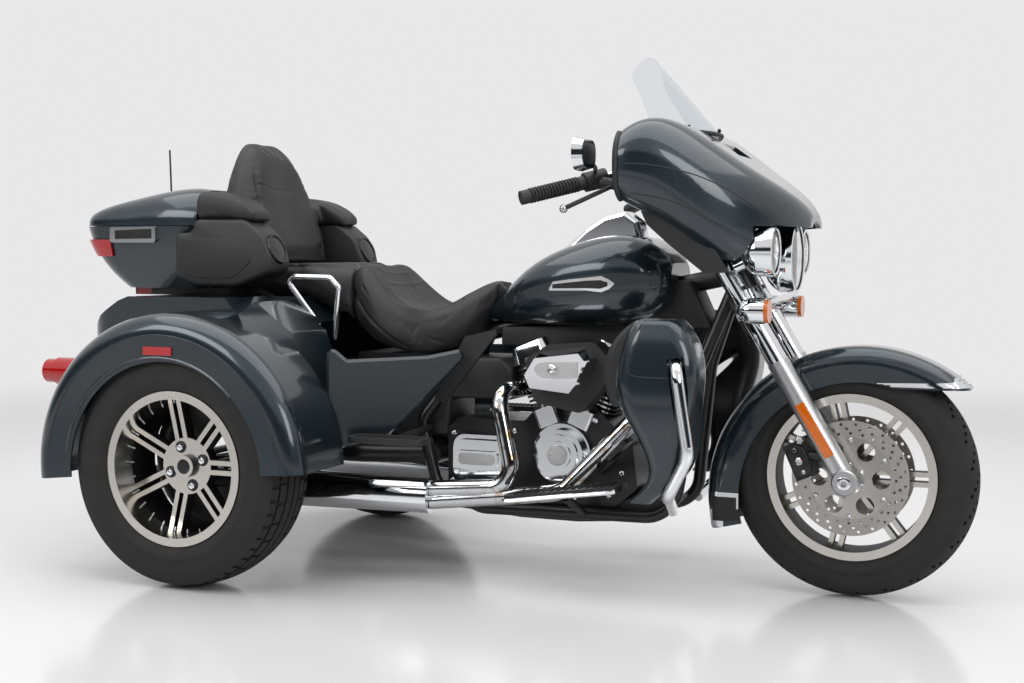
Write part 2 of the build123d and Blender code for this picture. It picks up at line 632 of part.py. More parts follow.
with BuildPart() as top_case_base:
    add(base_form.part)
    add(base_core.part, mode=Mode.SUBTRACT)
    with Locations((-300, 0, (TUB_TOP + CASE_LOW) / 2)):
        Box(220, 300, CASE_LOW - TUB_TOP)
    for x in LID_HINGES:
        with Locations((x, LID_HINGE_Y, LID_HINGE_Z)):
            Cylinder(LID_PIN_R, 60, rotation=(0, 90, 0))
        with Locations((x - 22, LID_HINGE_Y, LID_HINGE_Z)):
            Cylinder(LID_KNUCKLE_R, 16, rotation=(0, 90, 0))
        with Locations((x - 22, LID_HINGE_Y - 8, LID_HINGE_Z - 9)):
            Box(16, 16, 18)

LID_LOW = CASE_SEAM + LID_GAP
# Lid stations: x, half width, top edge. The lid is the upper half of a loft about its lower edge.
LID_STATIONS = [
    (CASE_BACK, 225, 992),
    (-562, 282, 1013),
    (-470, 303, 1043),
    (-330, CASE_WIDE, 1074),
    (-236, CASE_WIDE - 2, LID_TOP),
    (CASE_FRONT - 1, CASE_WIDE - 14, 1079),
]
CORE_SHIFT = [12, 6, 2, 0, -2, -CASE_WALL]
with BuildPart() as lid_core:
    lengthwise_loft([(x + shift, half_width, 2 * LID_LOW - top, top)
                     for (x, half_width, top), shift in zip(LID_STATIONS, CORE_SHIFT)], 0.44, CASE_WALL)
with BuildPart() as top_case_lid:
    lengthwise_loft([(x, half_width, 2 * LID_LOW - top, top) for x, half_width, top in LID_STATIONS], 0.44)
    add(lid_core.part, mode=Mode.SUBTRACT)
    with Locations((CASE_BACK, 0, LID_LOW)):
        Box(4 * CASE_WIDE, 4 * CASE_WIDE, 400, align=(Align.CENTER, Align.CENTER, Align.MAX),
            mode=Mode.SUBTRACT)
    for x in LID_HINGES:
        with Locations((x + 8, LID_HINGE_Y, LID_HINGE_Z)):
            Cylinder(LID_KNUCKLE_R, 40, rotation=(0, 90, 0))
        with Locations((x + 8, LID_HINGE_Y - 8, LID_HINGE_Z + 6)):
            Box(40, 16, 10)
        with Locations((x, LID_HINGE_Y, LID_HINGE_Z)):
            Cylinder(LID_PIN_R + RUN_FIT, 80, rotation=(0, 90, 0), mode=Mode.SUBTRACT)

# Bright latch plate on the right of the case, just below its seam.
LATCH_BACK = -468
LATCH_FRONT = -306
with BuildPart() as case_latch:
    with BuildSketch(Plane.XZ.offset(CASE_WIDE - 24)):
        with Locations(((LATCH_BACK + LATCH_FRONT) / 2, CASE_SEAM - 25)):
            RectangleRounded(LATCH_FRONT - LATCH_BACK, 46, 8)
    extrude(amount=30)
    add(top_case_base.part, mode=Mode.SUBTRACT)
    add(case_latch.solids().sort_by(Axis.Y)[0], mode=Mode.REPLACE)

# Lamps at the rear: bullet tail lamps, corner lamps on the top case, a bar below it, side markers.
TAIL_LAMP = Vector(-487, 515, 556)
TAIL_LAMP_R = 39
TAIL_LENS_R = 34
LAMP_BAR_HALF = 190
CORNER_LAMP_PROUD = 8
CORNER_LAMP_IN = 215
CORNER_LAMP_Z = 908
with BuildPart() as corner_lamps:
    proud = CORNER_LAMP_PROUD
    upright_loft([(z, back - proud, front, right - proud, left + proud)
                  for z, back, front, right, left in BASE_LEVELS], 0.2)
    with Locations((CASE_BACK + 50, 0, CORNER_LAMP_Z)):
        Box(140, 4 * CASE_WIDE, 50, mode=Mode.INTERSECT)
    with Locations((CASE_BACK, 0, CORNER_LAMP_Z)):
        Box(400, 2 * CORNER_LAMP_IN, 80, mode=Mode.SUBTRACT)
    add(base_form.part, mode=Mode.SUBTRACT)
with BuildPart() as rear_lamps:
    add(corner_lamps.part)
    with Locations((-435, 0, (TUB_TOP + CASE_LOW) / 2)):
        Box(50, 2 * LAMP_BAR_HALF, CASE_LOW - TUB_TOP - 2 * SEAT_GAP)
    for side in (-1, 1):
        with Locations((TAIL_LAMP.X, side * TAIL_LAMP.Y, TAIL_LAMP.Z)):
            Cylinder(TAIL_LAMP_R, 130, rotation=(0, 90, 0), align=(Align.CENTER, Align.CENTER, Align.MIN))
            Cylinder(TAIL_LENS_R, 36, rotation=(0, 90, 0), align=(Align.CENTER, Align.CENTER, Align.MAX))
        with Locations((FENDER_X, side * FENDER_OUT, 636)):
            Box(88, 2 * MARKER_PROUD, 22)
    add(top_case_base.part, mode=Mode.SUBTRACT)
    for side, side_name in ((-1, "right"), (1, "left")):
        with BuildSketch(Plane.XZ.offset(-side * TUB_HALF)):
            with Locations((FENDER_X, FENDER_Z)):
                Circle(FENDER_R - FENDER_WALL)
        extrude(amount=-side * (FENDER_OUT - TUB_HALF), mode=Mode.SUBTRACT)
        add(rear_fenders[side_name].part, mode=Mode.SUBTRACT)

# Aerial on the left rear corner of the top case.
ANTENNA_Y = CORNER_LAMP_IN - 15
with BuildPart() as antenna:
    tube([(-540, ANTENNA_Y, 880), (-607, ANTENNA_Y, 900), (-619, ANTENNA_Y, 1237)], 12, 3)
    add(top_case_base.part, mode=Mode.SUBTRACT)

# Passenger backrest with arm pads, and the speaker pods below the pads.
# Back levels: z, back x, front x, right y, left y. Arm stations: x, half width, low edge, high edge.
BACK_LEVELS = [
    (865, -118, -8, -200, 200),
    (960, -148, -26, -214, 214),
    (1060, -164, -56, -202, 202),
    (1150, -167, -78, -156, 156),
    (1215, -167, -102, -104, 104),
    (1241, -165, -124, -62, 62),
]
ARM_LOW = 983
ARM_STATIONS = [
    (-165, 56, ARM_LOW, 1078),
    (-95, 62, ARM_LOW, 1074),
    (-5, 62, ARM_LOW, 1046),
    (34, 50, ARM_LOW + 2, 1014),
]
ARM_PAD_Y = 270
POD_HALF = 56
POD_PROFILE = [(-226, 830), (-226, 950), (-168, 950), (-168, ARM_LOW + 14), (18, ARM_LOW + 14), (70, 940),
               (96, 876), (92, 838), (-20, 798), (-160, 798)]
with BuildPart() as backrest:
    upright_loft(BACK_LEVELS, 0.34)
    for side in (-1, 1):
        lengthwise_loft(ARM_STATIONS, 0.4, offset_y=side * ARM_PAD_Y)
    with Locations((-156, 0, 915)):
        Box(52, 160, 60)
    add(top_case_base.part, mode=Mode.SUBTRACT)
    add(passenger_seat.part, mode=Mode.SUBTRACT)
with BuildPart() as speaker_pods:
    for side in (-1, 1):
        side_profile(POD_PROFILE, POD_HALF, 16, offset_y=side * (ARM_PAD_Y + 2))
    add(backrest.part, mode=Mode.SUBTRACT)
    add(base_form.part, mode=Mode.SUBTRACT)

# Bright rails beside the passenger.
with BuildPart() as passenger_rails:
    tube([(196, -228, 690), (92, -250, 829), (243, -250, 826), (272, -250, 797), (244, -228, 652)],
         [18, 14, 12], 8)
    add(trunk_body.part, mode=Mode.SUBTRACT)
    mirror(about=Plane.XZ)

# Footboards for rider and passenger, with their brackets.
with BuildPart() as footboards:
    with BuildSketch(Plane(origin=(968, -285, 262), x_dir=(333, 0, 49), z_dir=(-49, 0, 333))):
        RectangleRounded(330, 112, 40)
    extrude(amount=16)
    tube([(968, -285, 254), (968, -122, 182)], None, 11)
    with BuildSketch(Plane(origin=(534, -454, 396))):
        RectangleRounded(226, 90, 36)
    extrude(amount=16)
    tube([(534, -454, 398), (490, -110, 398)], None, 10)
    add(frame.part, mode=Mode.SUBTRACT)
    mirror(about=Plane.XZ)
    add(engine_case.part, mode=Mode.SUBTRACT)
    add(exhaust_pipes.part, mode=Mode.SUBTRACT)

# Brake pedal on the right and shift lever on the left.
with BuildPart() as foot_controls:
    tube([(1000, -90, 300), (1060, -235, 322), (1115, -262, 376)], 24, 8)
    with BuildSketch(Plane(origin=(1118, -275, 384), x_dir=(60, 0, 60), z_dir=(-60, 0, 60))):
        RectangleRounded(80, 60, 14)
    extrude(amount=12)
    mirror(about=Plane.XZ)
    add(engine_case.part, mode=Mode.SUBTRACT)
    add(exhaust_pipes.part, mode=Mode.SUBTRACT)
    add(primary_cover.part, mode=Mode.SUBTRACT)
    add(frame.part, mode=Mode.SUBTRACT)

# Engine guard: one bright loop each side, from the frame's down tube out and back to the cradle.
GUARD_ROUTE = [(1262, -72, 560), (1298, -420, 640), (1338, -425, 400), (1275, -385, 292), (1215, -128, 212)]
LOOP_R = 16
with BuildPart() as engine_guard:
    tube(GUARD_ROUTE, [50, 60, 60], LOOP_R)
    add(frame.part, mode=Mode.SUBTRACT)
    mirror(about=Plane.XZ)

# Lower fairings around the guard. Levels: z, back x, front x, right y, left y.
LOWER_LEVELS = [
    (262, 1160, 1216, -345, -262),
    (300, 1196, 1262, -372, -240),
    (340, 1220, 1296, -388, -228),
    (430, 1196, 1324, -412, -222),
    (560, 1136, 1346, -420, -262),
    (660, 1150, 1338, -410, -268),
    (735, 1195, 1285, -380, -290),
]
LINER_LEVELS = [
    (505, 1108, 1180, -332, -252),
    (590, 1086, 1180, -346, -250),
    (683, 1120, 1210, -346, -256),
    (728, 1172, 1230, -336, -272),
]
GUARD_RECESS = 7
with BuildPart() as lower_fairings:
    upright_loft(LOWER_LEVELS, 0.3)
    tube(GUARD_ROUTE, [50, 60, 60], LOOP_R + 1, mode=Mode.SUBTRACT)
    tube(GUARD_ROUTE[1:4], [60], LOOP_R + GUARD_RECESS, mode=Mode.SUBTRACT)
    mirror(about=Plane.XZ)
with BuildPart() as lower_liners:
    upright_loft(LINER_LEVELS, 0.2)
    mirror(about=Plane.XZ)
    add(lower_fairings.part, mode=Mode.SUBTRACT)
    add(engine_guard.part, mode=Mode.SUBTRACT)

# Fork: sliders on the axle, bright upper tubes, clamps and steering stem.
SLIDER_R = 29
SLIDER_TOP = 350
UPPER_R = 27
UPPER_TOP = 730
LOWER_CLAMP = 500
UPPER_CLAMP = 702
CLAMP_THICK = 30
CLAMP_DEEP = 70
CLAMP_EDGE = 8
with BuildPart() as fork_sliders:
    for side in (-1, 1):
        with BuildSketch(on_fork(-34, side)):
            Circle(SLIDER_R)
        extrude(amount=SLIDER_TOP + 34)
    with Locations(FRONT_AXLE):
        Cylinder(AXLE_R, 2 * FORK_HALF + 2 * SLIDER_R + 16, rotation=(90, 0, 0))
        Cylinder(AXLE_BORE_R, 2 * FORK_HALF + 2 * SLIDER_R + 20, rotation=(90, 0, 0), mode=Mode.SUBTRACT)
with BuildPart() as fork_uppers:
    for side in (-1, 1):
        with BuildSketch(on_fork(SLIDER_TOP, side)):
            Circle(UPPER_R)
        extrude(amount=UPPER_TOP - SLIDER_TOP)
    for reach in (LOWER_CLAMP, UPPER_CLAMP):
        with BuildSketch(Plane(origin=FRONT_AXLE + FORK_DIR * reach, x_dir=(0, 1, 0), z_dir=STEER_DIR)):
            RectangleRounded(2 * (FORK_HALF + UPPER_R + CLAMP_EDGE), CLAMP_DEEP, 30)
        extrude(amount=CLAMP_THICK / 2, both=True)
    with BuildSketch(on_steering(HEAD_LOW - 30)):
        Circle(STEM_R)
    extrude(amount=HEAD_HIGH - HEAD_LOW + 60)

# Handlebar, grips and hand controls.
BAR_R = 14
BAR_ROUTE = [(1300, 0, 965), (1300, -95, 965), (1240, -190, 1085), (1090, -285, 1095), (908, -440, 1036)]
GRIP_R = 18
GRIP_IN = Vector(1090, -285, 1095) + 0.32 * Vector(-182, -155, -59)
GRIP_OUT = Vector(908, -440, 1036)
with BuildPart() as handlebar:
    tube(BAR_ROUTE, [50, 50, 60], BAR_R)
    mirror(about=Plane.XZ)
    for y in (-50, 50):
        tube([(1300, y, 965), (1314, y, 922)], None, 15)
    add(fork_uppers.part, mode=Mode.SUBTRACT)
with BuildPart() as grips:
    tube([GRIP_IN, GRIP_OUT + (GRIP_OUT - GRIP_IN).normalized() * 8], None, GRIP_R)
    mirror(about=Plane.XZ)
    add(handlebar.part, mode=Mode.SUBTRACT)
with BuildPart() as hand_controls:
    along = (GRIP_OUT - GRIP_IN).normalized()
    tube([GRIP_IN - along * 60, GRIP_IN - along], None, 25)
    tube([GRIP_IN - along * 30, GRIP_IN - along * 30 + Vector(62, -8, -14)], None, 14)
    tube([GRIP_IN - along * 30 + Vector(60, -8, -12), (1000, -400, 1008)], None, 6)
    mirror(about=Plane.XZ)
    add(handlebar.part, mode=Mode.SUBTRACT)
with BuildPart() as mirrors:
    stalk_foot = GRIP_IN - along * 30
    tube([stalk_foot + Vector(0, 0, 22), (1070, -360, 1112), (1062, -410, 1140)], 20, 6)
    with BuildSketch(Plane(origin=(1052, -432, 1142), x_dir=(0, 1, 0), z_dir=(1, 0, 0))):
        RectangleRounded(118, 84, 36)
    extrude(amount=26, taper=16)
    add(hand_controls.part, mode=Mode.SUBTRACT)
    mirror(about=Plane.XZ)

# Handlebar fairing. Stations: x, half width, low edge, high edge.
FAIRING_STATIONS = [
    (1128, 402, 1035, 1200),
    (1220, 396, 985, 1238),
    (1320, 350, 905, 1192),
    (1420, 290, 845, 1120),
    (1500, 206, 838, 1064),
    (1548, 122, 858, 1020),
    (1562, 84, 900, 997),
]
FAIRING_WALL = 6
HEADLAMP = Vector(1505, 0, 887)
PASSING_LAMP = Vector(1488, -200, 903)
HEADLAMP_R = 92
PASSING_R = 62
with BuildPart() as fairing_core:
    lengthwise_loft([(x - 2 * FAIRING_WALL, half_width, low, high)
                     for x, half_width, low, high in FAIRING_STATIONS], 0.42, FAIRING_WALL)
with BuildPart() as fairing_shell:
    lengthwise_loft(FAIRING_STATIONS, 0.42)
    add(fairing_core.part, mode=Mode.SUBTRACT)
    with BuildSketch(Plane(origin=(0, 0, 1110))):
        with BuildLine():
            brow = ThreePointArc((1130, -260), (1296, 0), (1130, 260))
            Polyline(brow @ 1, (1000, 260), (1000, -260), brow @ 0)
        make_face()
    extrude(amount=300, mode=Mode.SUBTRACT)
    with Locations(HEADLAMP):
        Cylinder(HEADLAMP_R + 5, 400, rotation=(0, 90, 0), mode=Mode.SUBTRACT)
    with Locations(PASSING_LAMP, (PASSING_LAMP.X, -PASSING_LAMP.Y, PASSING_LAMP.Z)):
        Cylinder(PASSING_R + 4, 300, rotation=(0, 90, 0), mode=Mode.SUBTRACT)
    with Locations((1250, 0, 880)):
        Box(380, 360, 200, mode=Mode.SUBTRACT)
    with Locations((1348, 0, 1165)):
        Box(46, 150, 80, mode=Mode.SUBTRACT)
    add(fairing_shell.solids().sort_by(SortBy.VOLUME)[-1], mode=Mode.REPLACE)

# Inner fairing: the dash across the shell, and two upright plates that close its cheeks behind.
CHIN = [(1150, 1048), (1186, 970), (1241, 922), (1338, 846), (1400, 850), (1300, 1010), (1200, 1060)]
CHIN_Y = 290
with BuildPart() as inner_fairing:
    with Locations((1334, 0, 1116)):
        Box(16, 900, 280)
    add(fairing_core.part, mode=Mode.INTERSECT)
    for side in (-1, 1):
        side_profile(CHIN, 3, offset_y=side * CHIN_Y)
    add(fairing_shell.part, mode=Mode.SUBTRACT)
    with Locations((1334, -60, 956), (1334, 60, 956)):
        Box(16, 60, 50)
    add(fork_uppers.part, mode=Mode.SUBTRACT)

# Windshield: a leaning curved sheet cut to a rounded outline.
SHIELD_THICK = 5
SHIELD_HALF = 231
SHIELD_LEAN = Vector(-193, 0, 220)
with BuildPart() as windshield:
    with BuildSketch(Plane(origin=(0, 0, 1215))):
        with BuildLine():
            outer = ThreePointArc((1104, -SHIELD_HALF), (1300, 0), (1104, SHIELD_HALF))
            inner = ThreePointArc((1104, SHIELD_THICK - SHIELD_HALF), (1300 - SHIELD_THICK, 0),
                                  (1104, SHIELD_HALF - SHIELD_THICK))
            Line(outer @ 0, inner @ 0)
            Line(outer @ 1, inner @ 1)
        make_face()
    extrude(amount=330, dir=SHIELD_LEAN)
    with BuildSketch(Plane(origin=(700, 0, 0), x_dir=(0, 1, 0), z_dir=(1, 0, 0))) as shield_front:
        Polygon((-228, 1216), (-206, 1370), (-150, SHIELD_TOP), (150, SHIELD_TOP), (206, 1370), (228, 1216),
                align=None)
        fillet(shield_front.vertices().group_by(Axis.Y)[-1], 60)
    extrude(amount=800, mode=Mode.INTERSECT)
    add(fairing_shell.part, mode=Mode.SUBTRACT)

# Lamps at the front: round-backed buckets with dished reflectors, domed lenses, signal bar and signals.
LENS_EDGE = 5
LENS_DOME = 13
LENS_SEAT = 5
FRONT_LAMPS = [(HEADLAMP, HEADLAMP_R), (PASSING_LAMP, PASSING_R),
               (Vector(PASSING_LAMP.X, -PASSING_LAMP.Y, PASSING_LAMP.Z), PASSING_R)]


def cap_drop(half_width, depth):
    """How far a round cap of this half width and depth has fallen halfway out from its top."""
    ball = (half_width ** 2 + depth ** 2) / (2 * depth)
    return ball - (ball ** 2 - half_width ** 2 / 4) ** 0.5


def bucket(centre, radius, depth, dish=0):
    """Lamp bucket turned about X: a drum with a rounded back and, where dish is set, a hollow reflector."""
    with BuildSketch(Plane(origin=centre, x_dir=(1, 0, 0), z_dir=(0, -1, 0))) as half:
        with BuildLine() as outline:
            Polyline((0, 0), (0, radius), (-0.42 * depth, radius))
            ThreePointArc((-0.42 * depth, radius), (-0.84 * depth, 0.72 * radius), (-depth, 0.3 * radius))
            Polyline((-depth, 0.3 * radius), (-depth, 0), (0, 0))
        make_face(outline.edges())
        if dish:
            rim = radius - LENS_SEAT - 3
            with BuildLine() as reflector:
                ThreePointArc((0, rim), (cap_drop(rim, dish) - dish, rim / 2), (-dish, 0))
                Polyline((-dish, 0), (0, 0), (0, rim))
            make_face(reflector.edges(), mode=Mode.SUBTRACT)
    revolve(half.sketch, axis=Axis(centre, (1, 0, 0)))


with BuildPart() as headlamps:
    for centre, radius in FRONT_LAMPS:
        bucket(centre, radius, 76, dish=0.42 * radius)
    tube([(1436, -150, 890), (1436, 150, 890)], None, 14)
    for y in (-FORK_HALF, FORK_HALF):
        tube([(1352, y, 850), (1436, y, 886)], None, 12)
    add(fork_uppers.part, mode=Mode.SUBTRACT)
with BuildPart() as lamp_lenses:
    for centre, radius in FRONT_LAMPS:
        with BuildSketch(Plane(origin=centre, x_dir=(1, 0, 0), z_dir=(0, -1, 0))) as lens_half:
            with BuildLine() as dome:
                rim = radius - LENS_SEAT
                Polyline((LENS_DOME, 0), (0, 0), (0, rim), (LENS_EDGE, rim))
                ThreePointArc((LENS_EDGE, rim), (LENS_DOME - cap_drop(rim, LENS_DOME - LENS_EDGE), rim / 2),
                              (LENS_DOME, 0))
            make_face(dome.edges())
        revolve(lens_half.sketch, axis=Axis(centre, (1, 0, 0)))
SIGNAL = Vector(1478, -218, 752)
SIGNAL_R = 33
SIGNAL_LONG = 72
SIGNALS = [SIGNAL, Vector(SIGNAL.X, -SIGNAL.Y, SIGNAL.Z)]
BAR_Z = 776
BAR_X = 1464
with BuildPart() as signal_bar:
    tube([(1452, SIGNAL.Y, SIGNAL.Z), (BAR_X, -150, BAR_Z), (BAR_X, 150, BAR_Z), (1452, -SIGNAL.Y, SIGNAL.Z)],
         30, 9)
    for y in (-FORK_HALF, FORK_HALF):
        tube([(1400, y, BAR_Z), (BAR_X, y, BAR_Z)], None, 7)
    add(fork_uppers.part, mode=Mode.SUBTRACT)
    for centre in SIGNALS:
        bucket(centre, SIGNAL_R, SIGNAL_LONG)
with BuildPart() as signal_lenses:
    for centre in SIGNALS:
        with Locations(centre):
            Cylinder(SIGNAL_R - 3, 10, rotation=(0, 90, 0), align=(Align.CENTER, Align.CENTER, Align.MIN))

# Front fender: a round-topped channel turned about a centre near the axle, its front skirt cut level.
GUARD_HALF = 80
GUARD_WALL = 3
GUARD_R = 404
GUARD_DEEP = 92
GUARD_ROLL = 46
GUARD_CENTRE = Vector(WHEELBASE + 24, 0, FRONT_TYRE_R - 61)
GUARD_TIP = 48
GUARD_SWEEP = 146
SKIRT_Z = 556


def channel_section(half_width, top_r, low_r, roll):
    """Round-topped cross section of the front fender, standing on the radius low_r."""
    with BuildSketch(mode=Mode.PRIVATE) as block:
        with Locations(((top_r + low_r) / 2, 0)):
            Rectangle(top_r - low_r, 2 * half_width)
        fillet(block.vertices().group_by(Axis.X)[-1], roll)
    return block.sketch


with BuildPart() as front_fender:
    tip_dir = Vector(cos(radians(GUARD_TIP)), 0, sin(radians(GUARD_TIP)))
    with BuildSketch(Plane(origin=GUARD_CENTRE, x_dir=tip_dir, z_dir=(-tip_dir.Z, 0, tip_dir.X))):
        add(channel_section(GUARD_HALF, GUARD_R, GUARD_R - GUARD_DEEP, GUARD_ROLL))
        add(channel_section(GUARD_HALF - GUARD_WALL, GUARD_R - GUARD_WALL, GUARD_R - GUARD_DEEP - 1,
                            GUARD_ROLL - GUARD_WALL), mode=Mode.SUBTRACT)
    revolve(axis=Axis(GUARD_CENTRE, (0, -1, 0)), revolution_arc=GUARD_SWEEP)
    with Locations((WHEELBASE + 220, 0, SKIRT_Z - 200)):
        Box(400, 400, 400, mode=Mode.SUBTRACT)
    stay = on_fork(290, -1).origin
    with Locations((stay.X, -GUARD_HALF - 5, stay.Z), (stay.X, GUARD_HALF + 5, stay.Z)):
        Box(44, 12, 60)
    add(fork_sliders.part, mode=Mode.SUBTRACT)

# Brake calipers behind the fork legs, straddling the discs.
with BuildPart() as brake_calipers:
    with Locations((WHEELBASE - 120, -86, FRONT_TYRE_R + 46)):
        Box(56, 62, 96, rotation=(0, -24, 0))
    tube([(WHEELBASE - 110, -100, FRONT_TYRE_R + 60), (WHEELBASE - 34, -FORK_HALF, FRONT_TYRE_R + 58)],
         None, 13)
    with Locations((WHEELBASE, -FRONT_HUB_HALF - DISC_THICK / 2, FRONT_TYRE_R)):
        Cylinder(DISC_R + ROOM, DISC_THICK + 2 * ROOM, rotation=(90, 0, 0), mode=Mode.SUBTRACT)
    add(fork_sliders.part, mode=Mode.SUBTRACT)
    mirror(about=Plane.XZ)

pieces = {
    "frame": frame, "swingarm": swingarm, "rear_axle": rear_axle, "rear_shocks": rear_shocks,
    "engine_case": engine_case, "cylinders": cylinders, "engine_covers": engine_covers,
    "primary_cover": primary_cover, "air_cleaner_body": air_cleaner_body,
    "air_cleaner_cover": air_cleaner_cover, "exhaust_pipes": exhaust_pipes, "mufflers": mufflers,
    "fuel_tank": fuel_tank, "tank_console": tank_console, "rider_seat": rider_seat,
    "passenger_seat": passenger_seat, "backrest": backrest, "speaker_pods": speaker_pods,
    "trunk_body": trunk_body, "trunk_door": trunk_door, "fender_right": rear_fenders["right"],
    "fender_left": rear_fenders["left"], "side_covers": side_covers, "air_deflectors": air_deflectors,
    "top_case_base": top_case_base, "top_case_lid": top_case_lid, "case_latch": case_latch,
    "rear_lamps": rear_lamps, "antenna": antenna, "passenger_rails": passenger_rails,
    "footboards": footboards, "foot_controls": foot_controls, "engine_guard": engine_guard,
    "lower_fairings": lower_fairings, "lower_liners": lower_liners, "fork_sliders": fork_sliders,
    "fork_uppers": fork_uppers, "handlebar": handlebar, "grips": grips, "hand_controls": hand_controls,
    "mirrors": mirrors, "fairing_shell": fairing_shell, "inner_fairing": inner_fairing,
    "windshield": windshield, "headlamps": headlamps, "lamp_lenses": lamp_lenses, "signal_bar": signal_bar,
    "signal_lenses": signal_lenses, "front_fender": front_fender, "brake_calipers": brake_calipers,
    "front_tyre": front_tyre, "front_rim": front_rim, "brake_discs": brake_discs,
    "rear_tyre_right": rear_tyres["right"], "rear_tyre_left": rear_tyres["left"],
    "rear_rim_right": rear_rims["right"], "rear_rim_left": rear_rims["left"],
}

os.makedirs("parts", exist_ok=True)
for name, piece in pieces.items():
    placed = piece.part.moved(Location((-MIDDLE_X, 0, 0)))
    placed.label = name
    export_step(placed, f"parts/{name}.step")
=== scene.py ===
from math import atan2, copysign, cos, floor, hypot, pi, radians, sin, tau

import bmesh
import bpy
from mathutils import Matrix, Vector
from mathutils.bvhtree import BVHTree
from mathutils.kdtree import KDTree


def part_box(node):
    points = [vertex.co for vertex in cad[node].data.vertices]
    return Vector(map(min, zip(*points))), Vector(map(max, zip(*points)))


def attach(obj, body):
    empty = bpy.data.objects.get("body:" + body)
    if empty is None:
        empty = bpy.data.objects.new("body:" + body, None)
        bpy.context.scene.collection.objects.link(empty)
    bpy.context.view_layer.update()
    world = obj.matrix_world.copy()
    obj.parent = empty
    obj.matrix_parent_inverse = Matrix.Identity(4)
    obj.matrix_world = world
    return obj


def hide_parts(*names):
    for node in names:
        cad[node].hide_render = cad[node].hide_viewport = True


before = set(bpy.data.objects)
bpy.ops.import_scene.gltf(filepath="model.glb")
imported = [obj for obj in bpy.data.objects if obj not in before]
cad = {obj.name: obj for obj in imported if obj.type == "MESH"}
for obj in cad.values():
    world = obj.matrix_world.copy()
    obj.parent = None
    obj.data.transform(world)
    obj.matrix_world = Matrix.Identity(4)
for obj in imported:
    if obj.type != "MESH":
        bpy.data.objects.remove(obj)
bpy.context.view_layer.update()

# The camera stands low at the trike's right front quarter, about four metres off.
# A normal lens at chest height keeps the wheels nearly round and the fairing tall.
EYE = Vector((1.5678, -3.7877, 0.8835))
YAW = radians(22.30)
DOWN = radians(3.35)
ROLL = radians(0.26)
lens = bpy.data.cameras.new("studio_camera")
lens.lens = 50.16
lens.sensor_width = 36.0
camera = bpy.data.objects.new("studio_camera", lens)
bpy.context.scene.collection.objects.link(camera)
turn = Matrix.Rotation(YAW, 4, "Z") @ Matrix.Rotation(pi / 2 - DOWN, 4, "X") @ Matrix.Rotation(ROLL, 4, "Z")
camera.matrix_world = Matrix.Translation(EYE) @ turn
bpy.context.scene.camera = camera
bpy.context.scene.view_settings.view_transform = "Standard"


def linear(hex_colour):
    """An sRGB hex colour as linear RGBA."""
    parts = [int(hex_colour[i:i + 2], 16) / 255 for i in (1, 3, 5)]
    return [c / 12.92 if c <= 0.04045 else ((c + 0.055) / 1.055) ** 2.4 for c in parts] + [1.0]


def add_node(tree, kind, inputs=None, **settings):
    """Adds one shader node. An input is a plain value, or a (node, output) pair that is linked."""
    node = tree.nodes.new("ShaderNode" + kind)
    for name, value in settings.items():
        setattr(node, name, value)
    for name, value in (inputs or {}).items():
        if isinstance(value, tuple):
            source, output = value
            tree.links.new(source.outputs[output], node.inputs[name])
        else:
            node.inputs[name].default_value = value
    return node


# The studio is a pale sweep lit by soft boxes, with the unlit side of the room behind the camera.
# Camera and see-through rays meet the sweep; mirror rays meet it too, and the darker room below the boxes.
SWEEP = "#e9e8e9"
ROOM = "#22262a"
world = bpy.data.worlds.new("pale_sweep")
bpy.context.scene.world = world
world.use_nodes = True
sky = world.node_tree
rays = add_node(sky, "LightPath")
way = add_node(sky, "TexCoord")
sides = add_node(sky, "SeparateXYZ", {"Vector": (way, "Generated")})
room_side = add_node(sky, "MapRange", {"Value": (sides, "Y"), "From Min": 0.25, "From Max": -0.25})
room_top = add_node(sky, "MapRange", {"Value": (sides, "Z"), "From Min": 0.36, "From Max": 0.24})
room_foot = add_node(sky, "MapRange", {"Value": (sides, "Z"), "From Min": -0.04, "From Max": 0.04})
room_band = add_node(sky, "Math", {0: (room_top, 0), 1: (room_foot, 0)}, operation="MULTIPLY")
in_room = add_node(sky, "Math", {0: (room_side, 0), 1: (room_band, 0)}, operation="MULTIPLY")
room_seen = add_node(sky, "Math", {0: (in_room, 0), 1: (rays, "Is Glossy Ray")}, operation="MULTIPLY")
surround = add_node(sky, "Mix", {0: (room_seen, 0), 6: linear(SWEEP), 7: linear(ROOM)}, data_type="RGBA")
mirror_rays = add_node(sky, "Math", {0: (rays, "Is Camera Ray"), 1: (rays, "Is Glossy Ray")},
                       operation="MAXIMUM")
seen_rays = add_node(sky, "Math", {0: (mirror_rays, 0), 1: (rays, "Is Transmission Ray")},
                     operation="MAXIMUM")
level = add_node(sky, "MapRange", {"Value": (seen_rays, 0), "To Min": 0.5, "To Max": 1.0})
backdrop = sky.nodes["Background"]
sky.links.new(surround.outputs[2], backdrop.inputs["Color"])
sky.links.new(level.outputs[0], backdrop.inputs["Strength"])

